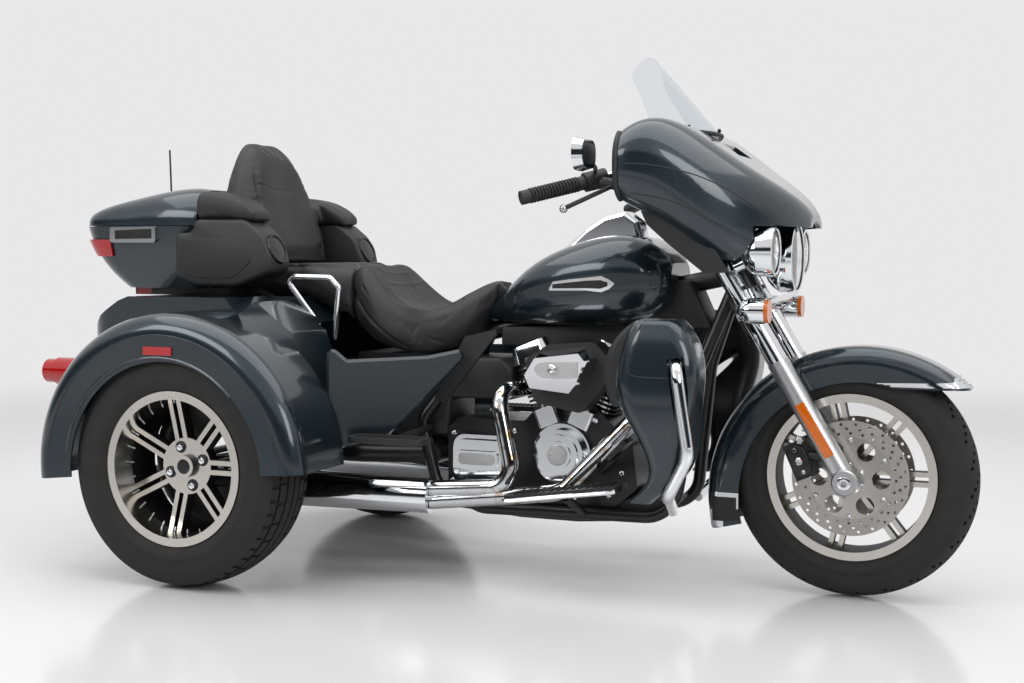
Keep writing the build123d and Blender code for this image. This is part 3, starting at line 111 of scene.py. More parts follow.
SOFT_BOXES = [
    # name, place, aim, width, height, watts, mirrored in chrome
    ("overhead_box", (0.1, -0.4, 3.4), (0.0, 0.0, 0.4), 6.0, 3.0, 100, True),
    ("front_box", (3.4, -2.4, 2.2), (0.5, 0.0, 0.6), 1.4, 1.8, 40, True),
    ("side_box", (-2.0, -3.2, 2.3), (-0.4, 0.0, 0.6), 2.2, 1.2, 40, True),
    ("rear_box", (-1.0, 3.2, 2.4), (0.0, 0.0, 0.6), 3.0, 1.6, 40, False),
]
for name, place, aim, width, height, watts, mirrored_in_chrome in SOFT_BOXES:
    lamp = bpy.data.lights.new(name, "AREA")
    lamp.shape = "RECTANGLE"
    lamp.size = width
    lamp.size_y = height
    lamp.energy = watts
    box = bpy.data.objects.new(name, lamp)
    bpy.context.scene.collection.objects.link(box)
    away = Vector(place) - Vector(aim)
    box.visible_transmission = False
    box.visible_glossy = mirrored_in_chrome
    box.matrix_world = Matrix.Translation(place) @ away.to_track_quat("Z", "Y").to_matrix().to_4x4()

# The floor is sealed white paint. It mirrors the trike softly and fades into the sweep further out.
FLOOR_SPAN = 40
FADE_FROM = 3.2
FADE_TO = 7.5
bpy.ops.object.select_all(action="DESELECT")
bpy.ops.mesh.primitive_plane_add(size=FLOOR_SPAN, location=(0, 0, -0.001))
studio_floor = bpy.context.object
studio_floor.name = "studio_floor"
floor_paint = bpy.data.materials.new("sealed_white_floor")
floor_paint.use_nodes = True
tree = floor_paint.node_tree
shader = tree.nodes["Principled BSDF"]
shader.inputs["Base Color"].default_value = linear("#ececed")
shader.inputs["Roughness"].default_value = 0.16
where = add_node(tree, "TexCoord")
reach = add_node(tree, "VectorMath", {0: (where, "Object")}, operation="LENGTH")
fade = add_node(tree, "MapRange", {"Value": (reach, "Value"), "From Min": FADE_FROM, "From Max": FADE_TO},
                interpolation_type="SMOOTHSTEP")
gone = add_node(tree, "BsdfTransparent")
mixed = add_node(tree, "MixShader", {0: (fade, 0), 1: (shader, 0), 2: (gone, 0)})
tree.links.new(mixed.outputs[0], tree.nodes["Material Output"].inputs["Surface"])
studio_floor.data.materials.append(floor_paint)


def new_material(name, **inputs):
    """A material with its shader's plain inputs set, and its coordinates. Underscores stand for spaces."""
    material = bpy.data.materials.new(name)
    material.use_nodes = True
    shader = material.node_tree.nodes["Principled BSDF"]
    for key, value in inputs.items():
        shader.inputs[key.replace("_", " ")].default_value = value
    return material, material.node_tree, shader, add_node(material.node_tree, "TexCoord")


def feed(shader, **sources):
    """Links nodes' outputs to a shader's inputs. Underscores stand for spaces."""
    for key, (node, output) in sources.items():
        shader.id_data.links.new(node.outputs[output], shader.inputs[key.replace("_", " ")])


def per_metre(size_mm):
    """Pattern scale for a pattern that repeats every so many millimetres."""
    return 1000 / size_mm


def dress(material, *names):
    """Gives carried-over solids their material."""
    for name in names:
        cad[name].data.materials.clear()
        cad[name].data.materials.append(material)


# The bodywork is sprayed in a dark blue-grey metallic under clear lacquer.
# The flake gives a soft sparkle and a broad grey-blue sheen, and the lacquer mirrors the soft boxes,
# with soft edges.
FLAKE_MM = 1.6  # real flake is a tenth of this, drawn coarser so that it shows
PEEL_MM = 14
paint, tree, shader, where = new_material("blue_grey_metallic_lacquer", Metallic=0.62, Roughness=0.34,
                                          Coat_Weight=1.0, Coat_Roughness=0.09, Coat_IOR=1.5)
flake = add_node(tree, "TexVoronoi", {"Vector": (where, "Object"), "Scale": per_metre(FLAKE_MM)})
glint = add_node(tree, "SeparateXYZ", {"Vector": (flake, "Color")})
shade = add_node(tree, "Mix", {0: (glint, "X"), 6: linear("#141f26"), 7: linear("#22323b")}, data_type="RGBA")
feed(shader, Base_Color=(shade, 2))
peel = add_node(tree, "TexNoise", {"Vector": (where, "Object"), "Scale": per_metre(PEEL_MM), "Detail": 1.0})
ripple = add_node(tree, "Bump", {"Height": (peel, "Fac"), "Strength": 0.03, "Distance": 0.001})
feed(shader, Coat_Normal=(ripple, "Normal"))
dress(paint, "fuel_tank", "trunk_body", "trunk_door", "fender_right", "fender_left", "side_covers",
      "top_case_base", "top_case_lid", "lower_fairings", "fairing_shell", "front_fender")

# Bright pieces are chrome plate over polished steel: a cool mirror with faint cloudy smudges.
# Hands and cloths leave the smudges, which dull the mirror in patches.
SMUDGE_MM = 60
chrome, tree, shader, where = new_material("polished_chrome_plate", Base_Color=linear("#e4e6e8"),
                                           Metallic=1.0)
smudge = add_node(tree, "TexNoise", {"Vector": (where, "Object"), "Scale": per_metre(SMUDGE_MM),
                                     "Detail": 4.0})
wiped = add_node(tree, "MapRange", {"Value": (smudge, "Fac"), "To Min": 0.03, "To Max": 0.12})
feed(shader, Roughness=(wiped, 0))
dress(chrome, "engine_covers", "primary_cover", "air_cleaner_cover", "mufflers", "tank_console",
      "passenger_rails", "engine_guard", "fork_uppers", "handlebar", "mirrors", "headlamps", "signal_bar",
      "rear_axle", "case_latch")

# Exhaust pipes are chromed too, but heat has browned the plate where they bend close to the engine.
# The brown comes in blotches and fades toward the rear.
STAIN_MM = 28
hot_chrome, tree, shader, where = new_material("heat_stained_chrome", Metallic=1.0, Roughness=0.1)
sides = add_node(tree, "SeparateXYZ", {"Vector": (where, "Object")})
spots = add_node(tree, "TexNoise", {"Vector": (where, "Object"), "Scale": per_metre(STAIN_MM), "Detail": 5.0})
heat = add_node(tree, "MapRange", {"Value": (spots, "Fac"), "From Min": 0.52, "From Max": 0.68})
near = add_node(tree, "MapRange", {"Value": (sides, "X"), "From Min": -0.02, "From Max": 0.1})
burnt = add_node(tree, "Math", {0: (heat, 0), 1: (near, 0)}, operation="MULTIPLY")
tint = add_node(tree, "Mix", {0: (burnt, 0), 6: linear("#cfd1d3"), 7: linear("#9b7a52")}, data_type="RGBA")
feed(shader, Base_Color=(tint, 2))
dress(hot_chrome, "exhaust_pipes")

# Frame, crankcase and brackets are powder coated: satin black with a fine pebbled skin.
# A film of dust dulls the coat in broad patches.
PEBBLE_MM = 2.5
FILM_MM = 90
black, tree, shader, where = new_material("satin_black_powder_coat", Specular_IOR_Level=0.5)
pebble = add_node(tree, "TexNoise", {"Vector": (where, "Object"), "Scale": per_metre(PEBBLE_MM),
                                     "Detail": 2.0})
dusty = add_node(tree, "TexNoise", {"Vector": (where, "Object"), "Scale": per_metre(FILM_MM), "Detail": 3.0})
shade = add_node(tree, "Mix", {0: (dusty, "Fac"), 6: linear("#0b0c0d"), 7: linear("#1d1e20")},
                 data_type="RGBA")
feed(shader, Base_Color=(shade, 2))
sheen = add_node(tree, "MapRange", {"Value": (dusty, "Fac"), "To Min": 0.22, "To Max": 0.46})
feed(shader, Roughness=(sheen, 0))
skin = add_node(tree, "Bump", {"Height": (pebble, "Fac"), "Strength": 0.12, "Distance": 0.0006})
feed(shader, Normal=(skin, "Normal"))
dress(black, "frame", "swingarm", "rear_shocks", "engine_case", "brake_calipers", "antenna", "foot_controls")

# Cylinders are the same black, with their fin edges machined back to bright metal.
# Edge faces look sideways, so the bright ones are found by their normal.
CAST_MM = 3
fins, tree, shader, where = new_material("black_fins_with_machined_edges")
look = add_node(tree, "SeparateXYZ", {"Vector": (where, "Normal")})
sideways = add_node(tree, "Math", {0: (look, "Y")}, operation="ABSOLUTE")
edge = add_node(tree, "MapRange", {"Value": (sideways, 0), "From Min": 0.72, "From Max": 0.8})
grit = add_node(tree, "TexNoise", {"Vector": (where, "Object"), "Scale": per_metre(CAST_MM), "Detail": 2.0})
cast = add_node(tree, "Mix", {0: (grit, "Fac"), 6: linear("#0a0b0c"), 7: linear("#1b1c1e")}, data_type="RGBA")
shade = add_node(tree, "Mix", {0: (edge, 0), 6: (cast, 2), 7: linear("#b8babb")}, data_type="RGBA")
feed(shader, Base_Color=(shade, 2))
feed(shader, Metallic=(edge, 0))
dull = add_node(tree, "MapRange", {"Value": (edge, 0), "To Min": 0.45, "To Max": 0.25})
feed(shader, Roughness=(dull, 0))
dress(fins, "cylinders")

# Pods, liners, deflectors and housings are moulded black plastic with a leathery grain.
# The plastic has faded a little, unevenly.
GRAIN_MM = 1.8
FADED_MM = 120
plastic, tree, shader, where = new_material("grained_black_plastic", Roughness=0.52)
grain = add_node(tree, "TexVoronoi", {"Vector": (where, "Object"), "Scale": per_metre(GRAIN_MM)})
faded = add_node(tree, "TexNoise", {"Vector": (where, "Object"), "Scale": per_metre(FADED_MM), "Detail": 2.0})
shade = add_node(tree, "Mix", {0: (faded, "Fac"), 6: linear("#141516"), 7: linear("#222325")},
                 data_type="RGBA")
feed(shader, Base_Color=(shade, 2))
skin = add_node(tree, "Bump", {"Height": (grain, "Distance"), "Strength": 0.25, "Distance": 0.0004})
feed(shader, Normal=(skin, "Normal"))
dress(plastic, "air_cleaner_body", "speaker_pods", "air_deflectors", "inner_fairing", "lower_liners",
      "footboards", "hand_controls", "grips")

# Lamp lenses are moulded acrylic: clear at the front, amber in the signals and red behind.
# Broad shallow flutes bend the light a little.
FLUTE_MM = 56.55
WAVE_TURNS = 20 / tau  # bands to a metre in a wave pattern of scale one
LENSES = [
    # name, colour, clearness, solids
    ("clear", "#ffffff", 0.96, "lamp_lenses"),
    ("amber", "#ee7612", 0.3, "signal_lenses"),
    ("red", "#c0141a", 0.25, "rear_lamps"),
]
lens_glass = {}
for name, colour, clearness, node in LENSES:
    material, tree, shader, where = new_material(f"{name}_fluted_acrylic", Base_Color=linear(colour),
                                                 Roughness=0.04, IOR=1.49, Transmission_Weight=clearness,
                                                 Coat_Weight=0.6)
    flute = add_node(tree, "TexWave", {"Vector": (where, "Object"),
                                       "Scale": per_metre(FLUTE_MM) / WAVE_TURNS}, bands_direction="Y")
    bent = add_node(tree, "Bump", {"Height": (flute, "Fac"), "Strength": 0.22, "Distance": 0.002})
    feed(shader, Normal=(bent, "Normal"))
    lens_glass[name] = material
    dress(material, node)

# The windshield is one thin polycarbonate sheet, so it passes light straight with only a faint grey edge.
# Wiping leaves a slight haze.
HAZE_MM = 200
sheet, tree, shader, where = new_material("clear_polycarbonate_sheet", Base_Color=linear("#eef2f4"), IOR=1.08,
                                          Transmission_Weight=1.0)
haze = add_node(tree, "TexNoise", {"Vector": (where, "Object"), "Scale": per_metre(HAZE_MM), "Detail": 2.0})
worn = add_node(tree, "MapRange", {"Value": (haze, "Fac"), "To Min": 0.0, "To Max": 0.04})
feed(shader, Roughness=(worn, 0))
dress(sheet, "windshield")


def middle_of(node):
    """The middle of a solid's box."""
    low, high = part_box(node)
    return (Vector(low) + Vector(high)) / 2


def lathe_rings(tree, where, hub):
    """Place from a hub, reach from its axle, and the wave of the rings that a lathe leaves round it."""
    centred = add_node(tree, "Mapping", {"Vector": (where, "Object"), "Location": -hub})
    flat = add_node(tree, "VectorMath", {0: (centred, 0), 1: [1, 0, 1]}, operation="MULTIPLY")
    reach = add_node(tree, "VectorMath", {0: (flat, 0)}, operation="LENGTH")
    rings = add_node(tree, "Math", {0: (reach, "Value"), 1: tau * per_metre(RING_MM)}, operation="MULTIPLY")
    return centred, reach, add_node(tree, "Math", {0: (rings, 0)}, operation="SINE")


# Wheels are cast alloy, painted black and then machined, so only outward faces, dishes and lips are bright.
# Turning leaves fine rings; they are drawn at two millimetres, coarser than the real half millimetre.
RING_MM = 2
REAR_DISH_REACH = 0.178
DISH_FROM = 0.014
NO_DISH = 0.4
WHEELS = [
    # node, reach from which the dish is bright, outward side
    ("front_rim", NO_DISH, 1),
    ("rear_rim_right", REAR_DISH_REACH, -1),
    ("rear_rim_left", REAR_DISH_REACH, 1),
]
for node, bright_from, side in WHEELS:
    material, tree, shader, where = new_material(f"machined_black_alloy_{node}")
    centred, reach, wave = lathe_rings(tree, where, middle_of(node))
    look = add_node(tree, "SeparateXYZ", {"Vector": (where, "Normal")})
    sideways = add_node(tree, "Math", {0: (look, "Y")}, operation="ABSOLUTE")
    faced = add_node(tree, "MapRange", {"Value": (sideways, 0), "From Min": 0.7, "From Max": 0.8})
    outer = add_node(tree, "Math", {0: (reach, "Value"), 1: bright_from}, operation="GREATER_THAN")
    place = add_node(tree, "SeparateXYZ", {"Vector": (centred, 0)})
    outward = add_node(tree, "Math", {0: (place, "Y"), 1: side}, operation="MULTIPLY")
    before = add_node(tree, "Math", {0: (outward, 0), 1: DISH_FROM}, operation="GREATER_THAN")
    dish = add_node(tree, "Math", {0: (outer, 0), 1: (before, 0)}, operation="MULTIPLY")
    bright = add_node(tree, "Math", {0: (faced, 0), 1: (dish, 0)}, operation="MAXIMUM")
    shade = add_node(tree, "Mix", {0: (bright, 0), 6: linear("#0d0d0e"), 7: linear("#dcd8d1")},
                     data_type="RGBA")
    feed(shader, Base_Color=(shade, 2))
    feed(shader, Metallic=(bright, 0))
    dull = add_node(tree, "MapRange", {"Value": (wave, 0), "From Min": -1.0, "To Min": 0.16, "To Max": 0.24})
    matt = add_node(tree, "Mix", {0: (bright, 0), 2: 0.55, 3: (dull, 0)})
    feed(shader, Roughness=(matt, 0))
    dress(material, node)

# Fork sliders are cast and sanded aluminium: pale grey with fine lines along the leg.
# The lines are drawn coarser than real sanding, so that they show.
SAND_MM = 1.5
aluminium, tree, shader, where = new_material("sanded_aluminium", Metallic=1.0)
drawn = add_node(tree, "Mapping", {"Vector": (where, "Object"), "Scale": [1, 1, 0.08]})
sanding = add_node(tree, "TexNoise", {"Vector": (drawn, 0), "Scale": per_metre(SAND_MM), "Detail": 2.0})
dull = add_node(tree, "MapRange", {"Value": (sanding, "Fac"), "To Min": 0.26, "To Max": 0.5})
feed(shader, Roughness=(dull, 0))
shade = add_node(tree, "Mix", {0: (sanding, "Fac"), 6: linear("#a9abad"), 7: linear("#cfd0d1")},
                 data_type="RGBA")
feed(shader, Base_Color=(shade, 2))
dress(aluminium, "fork_sliders")


def fresh(kind, name, **sizes):
    """Deselects all and adds one primitive, left selected and active."""
    bpy.ops.object.select_all(action="DESELECT")
    getattr(bpy.ops.mesh, f"primitive_{kind}_add")(**sizes)
    piece = bpy.context.object
    piece.name = name
    return piece


def pick(piece, test):
    """Opens a piece for editing with only those faces selected whose centre and normal pass the test."""
    bpy.context.view_layer.objects.active = piece
    bpy.ops.object.mode_set(mode="EDIT")
    bpy.ops.mesh.select_mode(type="FACE")
    bpy.ops.mesh.select_all(action="DESELECT")
    shape = bmesh.from_edit_mesh(piece.data)
    for face in shape.faces:
        face.select_set(bool(test(face.calc_center_median(), face.normal)))
    bmesh.update_edit_mesh(piece.data)


def settle(piece, material, body, smooth=35):
    """Applies a piece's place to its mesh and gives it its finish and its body."""
    bpy.ops.object.select_all(action="DESELECT")
    piece.select_set(True)
    bpy.context.view_layer.objects.active = piece
    bpy.ops.object.transform_apply(location=True, rotation=True, scale=True)
    bpy.ops.object.shade_smooth_by_angle(angle=radians(smooth))
    piece.data.materials.clear()
    piece.data.materials.append(material)
    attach(piece, body)
    return piece


def turned(name, profile, steps=48):
    """A piece turned about its own Z: profile points give radius and height. Ends off the axis stay open."""
    piece = fresh("plane", name, size=0.001)
    bpy.ops.object.mode_set(mode="EDIT")
    bpy.ops.mesh.select_mode(type="VERT")
    bpy.ops.mesh.select_all(action="SELECT")
    bpy.ops.mesh.merge(type="CENTER")
    bpy.ops.mesh.select_all(action="SELECT")
    bpy.ops.transform.translate(value=(profile[0][0], 0, profile[0][1]))
    for (r0, h0), (r1, h1) in zip(profile, profile[1:]):
        bpy.ops.mesh.extrude_vertices_move(TRANSFORM_OT_translate={"value": (r1 - r0, 0, h1 - h0)})
    bpy.ops.mesh.select_all(action="SELECT")
    bpy.ops.mesh.spin(steps=steps, angle=tau, center=(0, 0, 0), axis=(0, 0, 1))
    bpy.ops.mesh.select_all(action="SELECT")
    bpy.ops.mesh.remove_doubles(threshold=0.00002)
    bpy.ops.mesh.normals_make_consistent(inside=False)
    bpy.ops.object.mode_set(mode="OBJECT")
    return piece


def facing(point, outward):
    """Placing that carries a piece's own Z to an outward direction at a point."""
    return Matrix.Translation(point) @ Vector(outward).to_track_quat("Z", "Y").to_matrix().to_4x4()


# Tyres are moulded rubber with raised side bands. Grooves are pressed into the tread as real channels.
# The rubber is near black, matt, and browner with road dust on the walls.
DUST_MM = 45
GRIT_MM = 1.5
rubber, tree, shader, where = new_material("moulded_tyre_rubber", Roughness=0.78)
dust = add_node(tree, "TexNoise", {"Vector": (where, "Object"), "Scale": per_metre(DUST_MM), "Detail": 6.0})
shade = add_node(tree, "Mix", {0: (dust, "Fac"), 6: linear("#121212"), 7: linear("#262422")},
                 data_type="RGBA")
feed(shader, Base_Color=(shade, 2))
grit = add_node(tree, "TexNoise", {"Vector": (where, "Object"), "Scale": per_metre(GRIT_MM), "Detail": 1.0})
skin = add_node(tree, "Bump", {"Height": (grit, "Fac"), "Strength": 0.2, "Distance": 0.0005})
feed(shader, Normal=(skin, "Normal"))
TREAD_STEPS = 216
# Share of the wall's height, and how far the wall stands in from the tyre's widest there.
WALL_BANDS = [(0.2, 0.004), (0.24, 0.0015), (0.3, 0.0015), (0.34, 0.003), (0.5, 0.001), (0.66, 0.003)]
GROOVE_DEEP = 0.006


def front_groove(across, step):
    """Slanting side grooves either side of a plain middle rib."""
    slant = floor(abs(across) / 0.009)
    return 0.011 < abs(across) < 0.047 and (step + slant * 2 + (4 if across > 0 else 0)) % 8 == 0


def rear_groove(across, step):
    """Five channels round the tread, with cross cuts through the shoulder and middle ribs."""
    channel = 0.026 < abs(across) < 0.034 or 0.057 < abs(across) < 0.065 or abs(across) < 0.004
    cut = abs(across) > 0.065 and step % 4 == 0 or 0.034 < abs(across) < 0.057 and step % 6 == 3
    return abs(across) < 0.086 and (channel or cut)


FRONT_COLUMNS = [-0.054, -0.047, -0.038, -0.029, -0.02, -0.011, 0.0, 0.011, 0.02, 0.029, 0.038, 0.047, 0.054]
REAR_COLUMNS = [-0.088, -0.065, -0.057, -0.034, -0.026, -0.004, 0.004, 0.026, 0.034, 0.057, 0.065, 0.088]
# A shape is radius, half width, lip radius, bead half, crown drop, crown half, tread columns and groove rule.
FRONT_SHAPE = (0.318, 0.065, 0.2183, 0.0457, 0.024, 0.054, FRONT_COLUMNS, front_groove)
REAR_SHAPE = (0.322, 0.1025, 0.2073, 0.0837, 0.014, 0.088, REAR_COLUMNS, rear_groove)
TYRES = [
    # node, body, shape
    ("front_tyre", "front_wheel", FRONT_SHAPE),
    ("rear_tyre_right", "rear_wheel_right", REAR_SHAPE),
    ("rear_tyre_left", "rear_wheel_left", REAR_SHAPE),
]
for node, body, shape in TYRES:
    radius, half, lip, bead, drop, crown, columns, grooved = shape
    rise = radius - lip
    wall = [(lip, bead), (lip + 0.06 * rise, bead + 0.5 * (half - bead))]
    wall += [(lip + share * rise, half - inset) for share, inset in WALL_BANDS]
    tread = [(radius - drop * (across / crown) ** 2, across) for across in columns]
    section = [(r, -across) for r, across in wall] + tread + list(reversed(wall))
    section = [(lip - 0.006, -bead + 0.004)] + section + [(lip - 0.006, bead - 0.004)]
    tyre = turned(f"treaded_{node}", section, steps=TREAD_STEPS)
    step_angle = tau / TREAD_STEPS

    def in_groove(centre, normal):
        step = floor((atan2(centre.y, centre.x) % tau) / step_angle)
        on_tread = hypot(centre.x, centre.y) > radius - drop - 0.002
        return on_tread and grooved(centre.z, step)

    pick(tyre, in_groove)
    bpy.ops.mesh.extrude_region_shrink_fatten(TRANSFORM_OT_shrink_fatten={"value": -GROOVE_DEEP})
    bpy.ops.object.mode_set(mode="OBJECT")
    tyre.matrix_world = facing(middle_of(node), (0, -1, 0))
    settle(tyre, rubber, body, smooth=40)
    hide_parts(node)


def copied(pattern, name):
    """A copy of a piece under its own name."""
    copy = bpy.data.objects.new(name, pattern.data.copy())
    bpy.context.scene.collection.objects.link(copy)
    return copy


def repeated(pattern, name, placings):
    """Copies a small piece to each placing and joins the copies."""
    bpy.ops.object.select_all(action="DESELECT")
    for placing in placings:
        copy = copied(pattern, name)
        copy.matrix_world = placing
        copy.select_set(True)
        bpy.context.view_layer.objects.active = copy
    bpy.ops.object.join()
    joined = bpy.context.object
    joined.name = name
    return joined


def spread(pattern, name, places):
    """Copies a small piece to each place, its own Z turned outward and its size scaled."""
    placings = [facing(point, outward) @ Matrix.Scale(size, 4) for point, outward, size in places]
    return repeated(pattern, name, placings)


def bar(name, length, width, height, rounding, segments):
    """A small straight bar with rounded edges."""
    piece = fresh("cube", name, size=1)
    piece.data.transform(Matrix.Diagonal((length, width, height, 1)))
    pick(piece, lambda centre, normal: True)
    bpy.ops.mesh.bevel(offset=rounding, segments=segments)
    bpy.ops.object.mode_set(mode="OBJECT")
    return piece


def forget(*patterns):
    """Removes patterns that only served to be copied."""
    for pattern in patterns:
        bpy.data.objects.remove(pattern)


# Fasteners are forged steel: a cap screw with a round socket, and a hex nut with a raised end.
# Both are one unit across here and are scaled where they are used.
SCREW_PROFILE = [(0.0, 0.12), (0.26, 0.12), (0.3, 0.5), (0.38, 0.52), (0.5, 0.4), (0.5, -0.2)]
cap_screw = turned("cap_screw", SCREW_PROFILE, steps=20)
hex_nut = fresh("cylinder", "hex_nut", vertices=6, radius=0.5, depth=0.7, location=(0, 0, 0.35))
pick(hex_nut, lambda centre, normal: normal.z > 0.9)
bpy.ops.mesh.bevel(offset=0.08, segments=2)
bpy.ops.object.mode_set(mode="OBJECT")
pick(hex_nut, lambda centre, normal: normal.z > 0.95)
bpy.ops.mesh.inset(thickness=0.14)
bpy.ops.mesh.extrude_region_move(TRANSFORM_OT_translate={"value": (0, 0, 0.16)})
bpy.ops.mesh.bevel(offset=0.03, segments=2)
bpy.ops.object.mode_set(mode="OBJECT")

# Rear wheel fittings: four chromed lug nuts in black seats, a plain black cap and short rim ticks.
# The nuts hold the wheel's face to the hub, and the cap is pressed into it.
SPOKE_FACE = 0.022
LUGS = 4
LUG_START = radians(20)
LUG_CIRCLE = 0.054
LUG_SIZE = 0.021
LUG_SEAT = [(0.0, 0.0012), (0.0125, 0.0012), (0.0135, 0.003), (0.0155, 0.003), (0.0165, 0.0)]
CAP_PROFILE = [(0.0, 0.0185), (0.012, 0.018), (0.019, 0.0172), (0.0205, 0.0155)]
TICKS = 28
TICK_CIRCLE = REAR_DISH_REACH
seat = turned("lug_seat", LUG_SEAT, steps=28)
tick = bar("rim_tick", 0.012, 0.003, 0.004, 0.0008, 1)
for side_name, side in (("right", -1), ("left", 1)):
    body = f"rear_wheel_{side_name}"
    outward = Vector((0, side, 0))
    face = middle_of(f"rear_rim_{side_name}") + outward * SPOKE_FACE
    seats = []
    nuts = []
    for lug in range(LUGS):
        angle = LUG_START + tau * lug / LUGS
        point = face + LUG_CIRCLE * Vector((cos(angle), 0, sin(angle)))
        seats.append((point, outward, 1.0))
        nuts.append((point + outward * 0.001, outward, LUG_SIZE))
    settle(spread(seat, f"lug_seats_{side_name}", seats), black, body)
    settle(spread(hex_nut, f"lug_nuts_{side_name}", nuts), chrome, body)
    cap = turned(f"wheel_cap_{side_name}", CAP_PROFILE, steps=40)
    cap.matrix_world = facing(face, outward)
    settle(cap, black, body)
    placings = []
    for index in range(TICKS):
        angle = tau * index / TICKS
        point = face + TICK_CIRCLE * Vector((cos(angle), 0, sin(angle)))
        placings.append(Matrix.Translation(point) @ Matrix.Rotation(-angle, 4, "Y"))
    settle(repeated(tick, f"rim_ticks_{side_name}", placings), aluminium, body)
forget(seat, tick)

REAR_AXLE_X = middle_of("rear_rim_right").x


def spot(ahead, left, up):
    """A place in metres from millimetres ahead of the rear axle, left of the middle and above the ground."""
    return Vector((REAR_AXLE_X + ahead / 1000, left / 1000, up / 1000))


def through(points, steps=8):
    """A smooth line through a few points."""
    ends = [points[0], *points, points[-1]]
    line = []
    for a, b, c, d in zip(ends, ends[1:], ends[2:], ends[3:]):
        for step in range(steps):
            t = step / steps
            line.append(b + 0.5 * t * (c - a + t * (2 * a - 5 * b + 4 * c - d + t * (3 * (b - c) + d - a))))
    return line + [points[-1]]


skins = {}


def skin_of(node):
    """A solid's surface, ready to be searched."""
    if node not in skins:
        mesh = cad[node].data
        skins[node] = BVHTree.FromPolygons([v.co for v in mesh.vertices], [p.vertices for p in mesh.polygons])
    return skins[node]


def press(node, points, along):
    """Drops points onto a solid's skin along one direction, from a metre off, and leaves out what misses."""
    along = Vector(along).normalized()
    landed = [skin_of(node).ray_cast(point - along, along)[0] for point in points]
    return [place for place in landed if place]


def shape_with(piece, kind, **settings):
    """Adds one modifier to a piece and applies it."""
    bpy.ops.object.select_all(action="DESELECT")
    piece.select_set(True)
    bpy.context.view_layer.objects.active = piece
    modifier = piece.modifiers.new(kind.lower(), kind)
    for name, value in settings.items():
        setattr(modifier, name, value)
    bpy.ops.object.modifier_apply(modifier=modifier.name)


def mirrored(lines):
    """Lines with their twins across the middle plane."""
    return lines + [[Vector((p.x, -p.y, p.z)) for p in line] for line in lines]


# Seats and backrest are foam under black leather-grain vinyl, sewn from panels and drawn down at the seams.
# Each cushion starts a little small, is blown up by air pressure with its foot held, then stitched.
VINYL_MM = 2.6
WEAR_MM = 110
vinyl, tree, shader, where = new_material("black_grained_vinyl", Specular_IOR_Level=0.4)
grain = add_node(tree, "TexVoronoi", {"Vector": (where, "Object"), "Scale": per_metre(VINYL_MM)},
                 feature="SMOOTH_F1")
worn = add_node(tree, "TexNoise", {"Vector": (where, "Object"), "Scale": per_metre(WEAR_MM), "Detail": 4.0})
shade = add_node(tree, "Mix", {0: (worn, "Fac"), 6: linear("#1b1a1b"), 7: linear("#2f2d2e")},
                 data_type="RGBA")
feed(shader, Base_Color=(shade, 2))
rubbed = add_node(tree, "MapRange", {"Value": (worn, "Fac"), "To Min": 0.58, "To Max": 0.4})
feed(shader, Roughness=(rubbed, 0))
skin = add_node(tree, "Bump", {"Height": (grain, "Distance"), "Strength": 0.3, "Distance": 0.0006})
feed(shader, Normal=(skin, "Normal"))
WELD_GAP = 0.00005
CLOTH_MM = 6
START_SMALL = 0.004
FOOT = 0.02
MOST_SWELL = 0.012
PRESSURE = 4
SIM_FRAMES = 20
SEAM_DEEP = 0.0055
SEAM_WIDE = 0.011


def upholster(node, seams, hollow=None):
    """A sewn cushion grown from its solid. A hollow says how far each point is scooped down."""
    cushion = copied(cad[node], f"upholstered_{node}")
    shape_with(cushion, "WELD", merge_threshold=WELD_GAP)
    shape_with(cushion, "REMESH", mode="VOXEL", voxel_size=CLOTH_MM / 1000)
    shape_with(cushion, "SMOOTH", factor=0.5, iterations=6)
    mesh = cushion.data
    if hollow:
        for vertex in mesh.vertices:
            vertex.co.z -= hollow(vertex.co) * max(0.0, vertex.normal.z)
    starts = [vertex.co - START_SMALL * vertex.normal for vertex in mesh.vertices]
    for vertex, start in zip(mesh.vertices, starts):
        vertex.co = start
    low = min(start.z for start in starts)
    held = cushion.vertex_groups.new(name="held_foot")
    held.add([i for i, start in enumerate(starts) if start.z < low + FOOT], 1.0, "REPLACE")
    cloth = cushion.modifiers.new("cloth", "CLOTH")
    cloth.settings.use_pressure = True
    cloth.settings.uniform_pressure_force = PRESSURE
    cloth.settings.vertex_group_mass = "held_foot"
    cloth.settings.effector_weights.gravity = 0
    cloth.settings.quality = 3
    cloth.point_cache.frame_end = SIM_FRAMES
    for number in range(1, SIM_FRAMES + 1):
        bpy.context.scene.frame_set(number)
    blown = cushion.evaluated_get(bpy.context.evaluated_depsgraph_get())
    swollen = [vertex.co.copy() for vertex in blown.data.vertices]
    cushion.modifiers.remove(cloth)
    bpy.context.scene.frame_set(1)
    for vertex, start, place in zip(mesh.vertices, starts, swollen):
        move = place - start
        vertex.co = start + move * min(1.0, MOST_SWELL / max(move.length, 1e-6))
    shape_with(cushion, "SMOOTH", factor=0.5, iterations=3)
    shape_with(cushion, "SUBSURF", levels=1, render_levels=1)
    threads = [point for seam in seams for point in seam]
    tree_of_threads = KDTree(len(threads))
    for index, point in enumerate(threads):
        tree_of_threads.insert(point, index)
    tree_of_threads.balance()
    pulls = []
    for vertex in cushion.data.vertices:
        place, index, distance = tree_of_threads.find(vertex.co)
        near = max(0.0, 1 - distance / SEAM_WIDE)
        pulls.append(vertex.normal * SEAM_DEEP * near * near * (3 - 2 * near))
    for vertex, pull in zip(cushion.data.vertices, pulls):
        vertex.co -= pull
    settle(cushion, vinyl, "chassis", smooth=80)
    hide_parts(node)


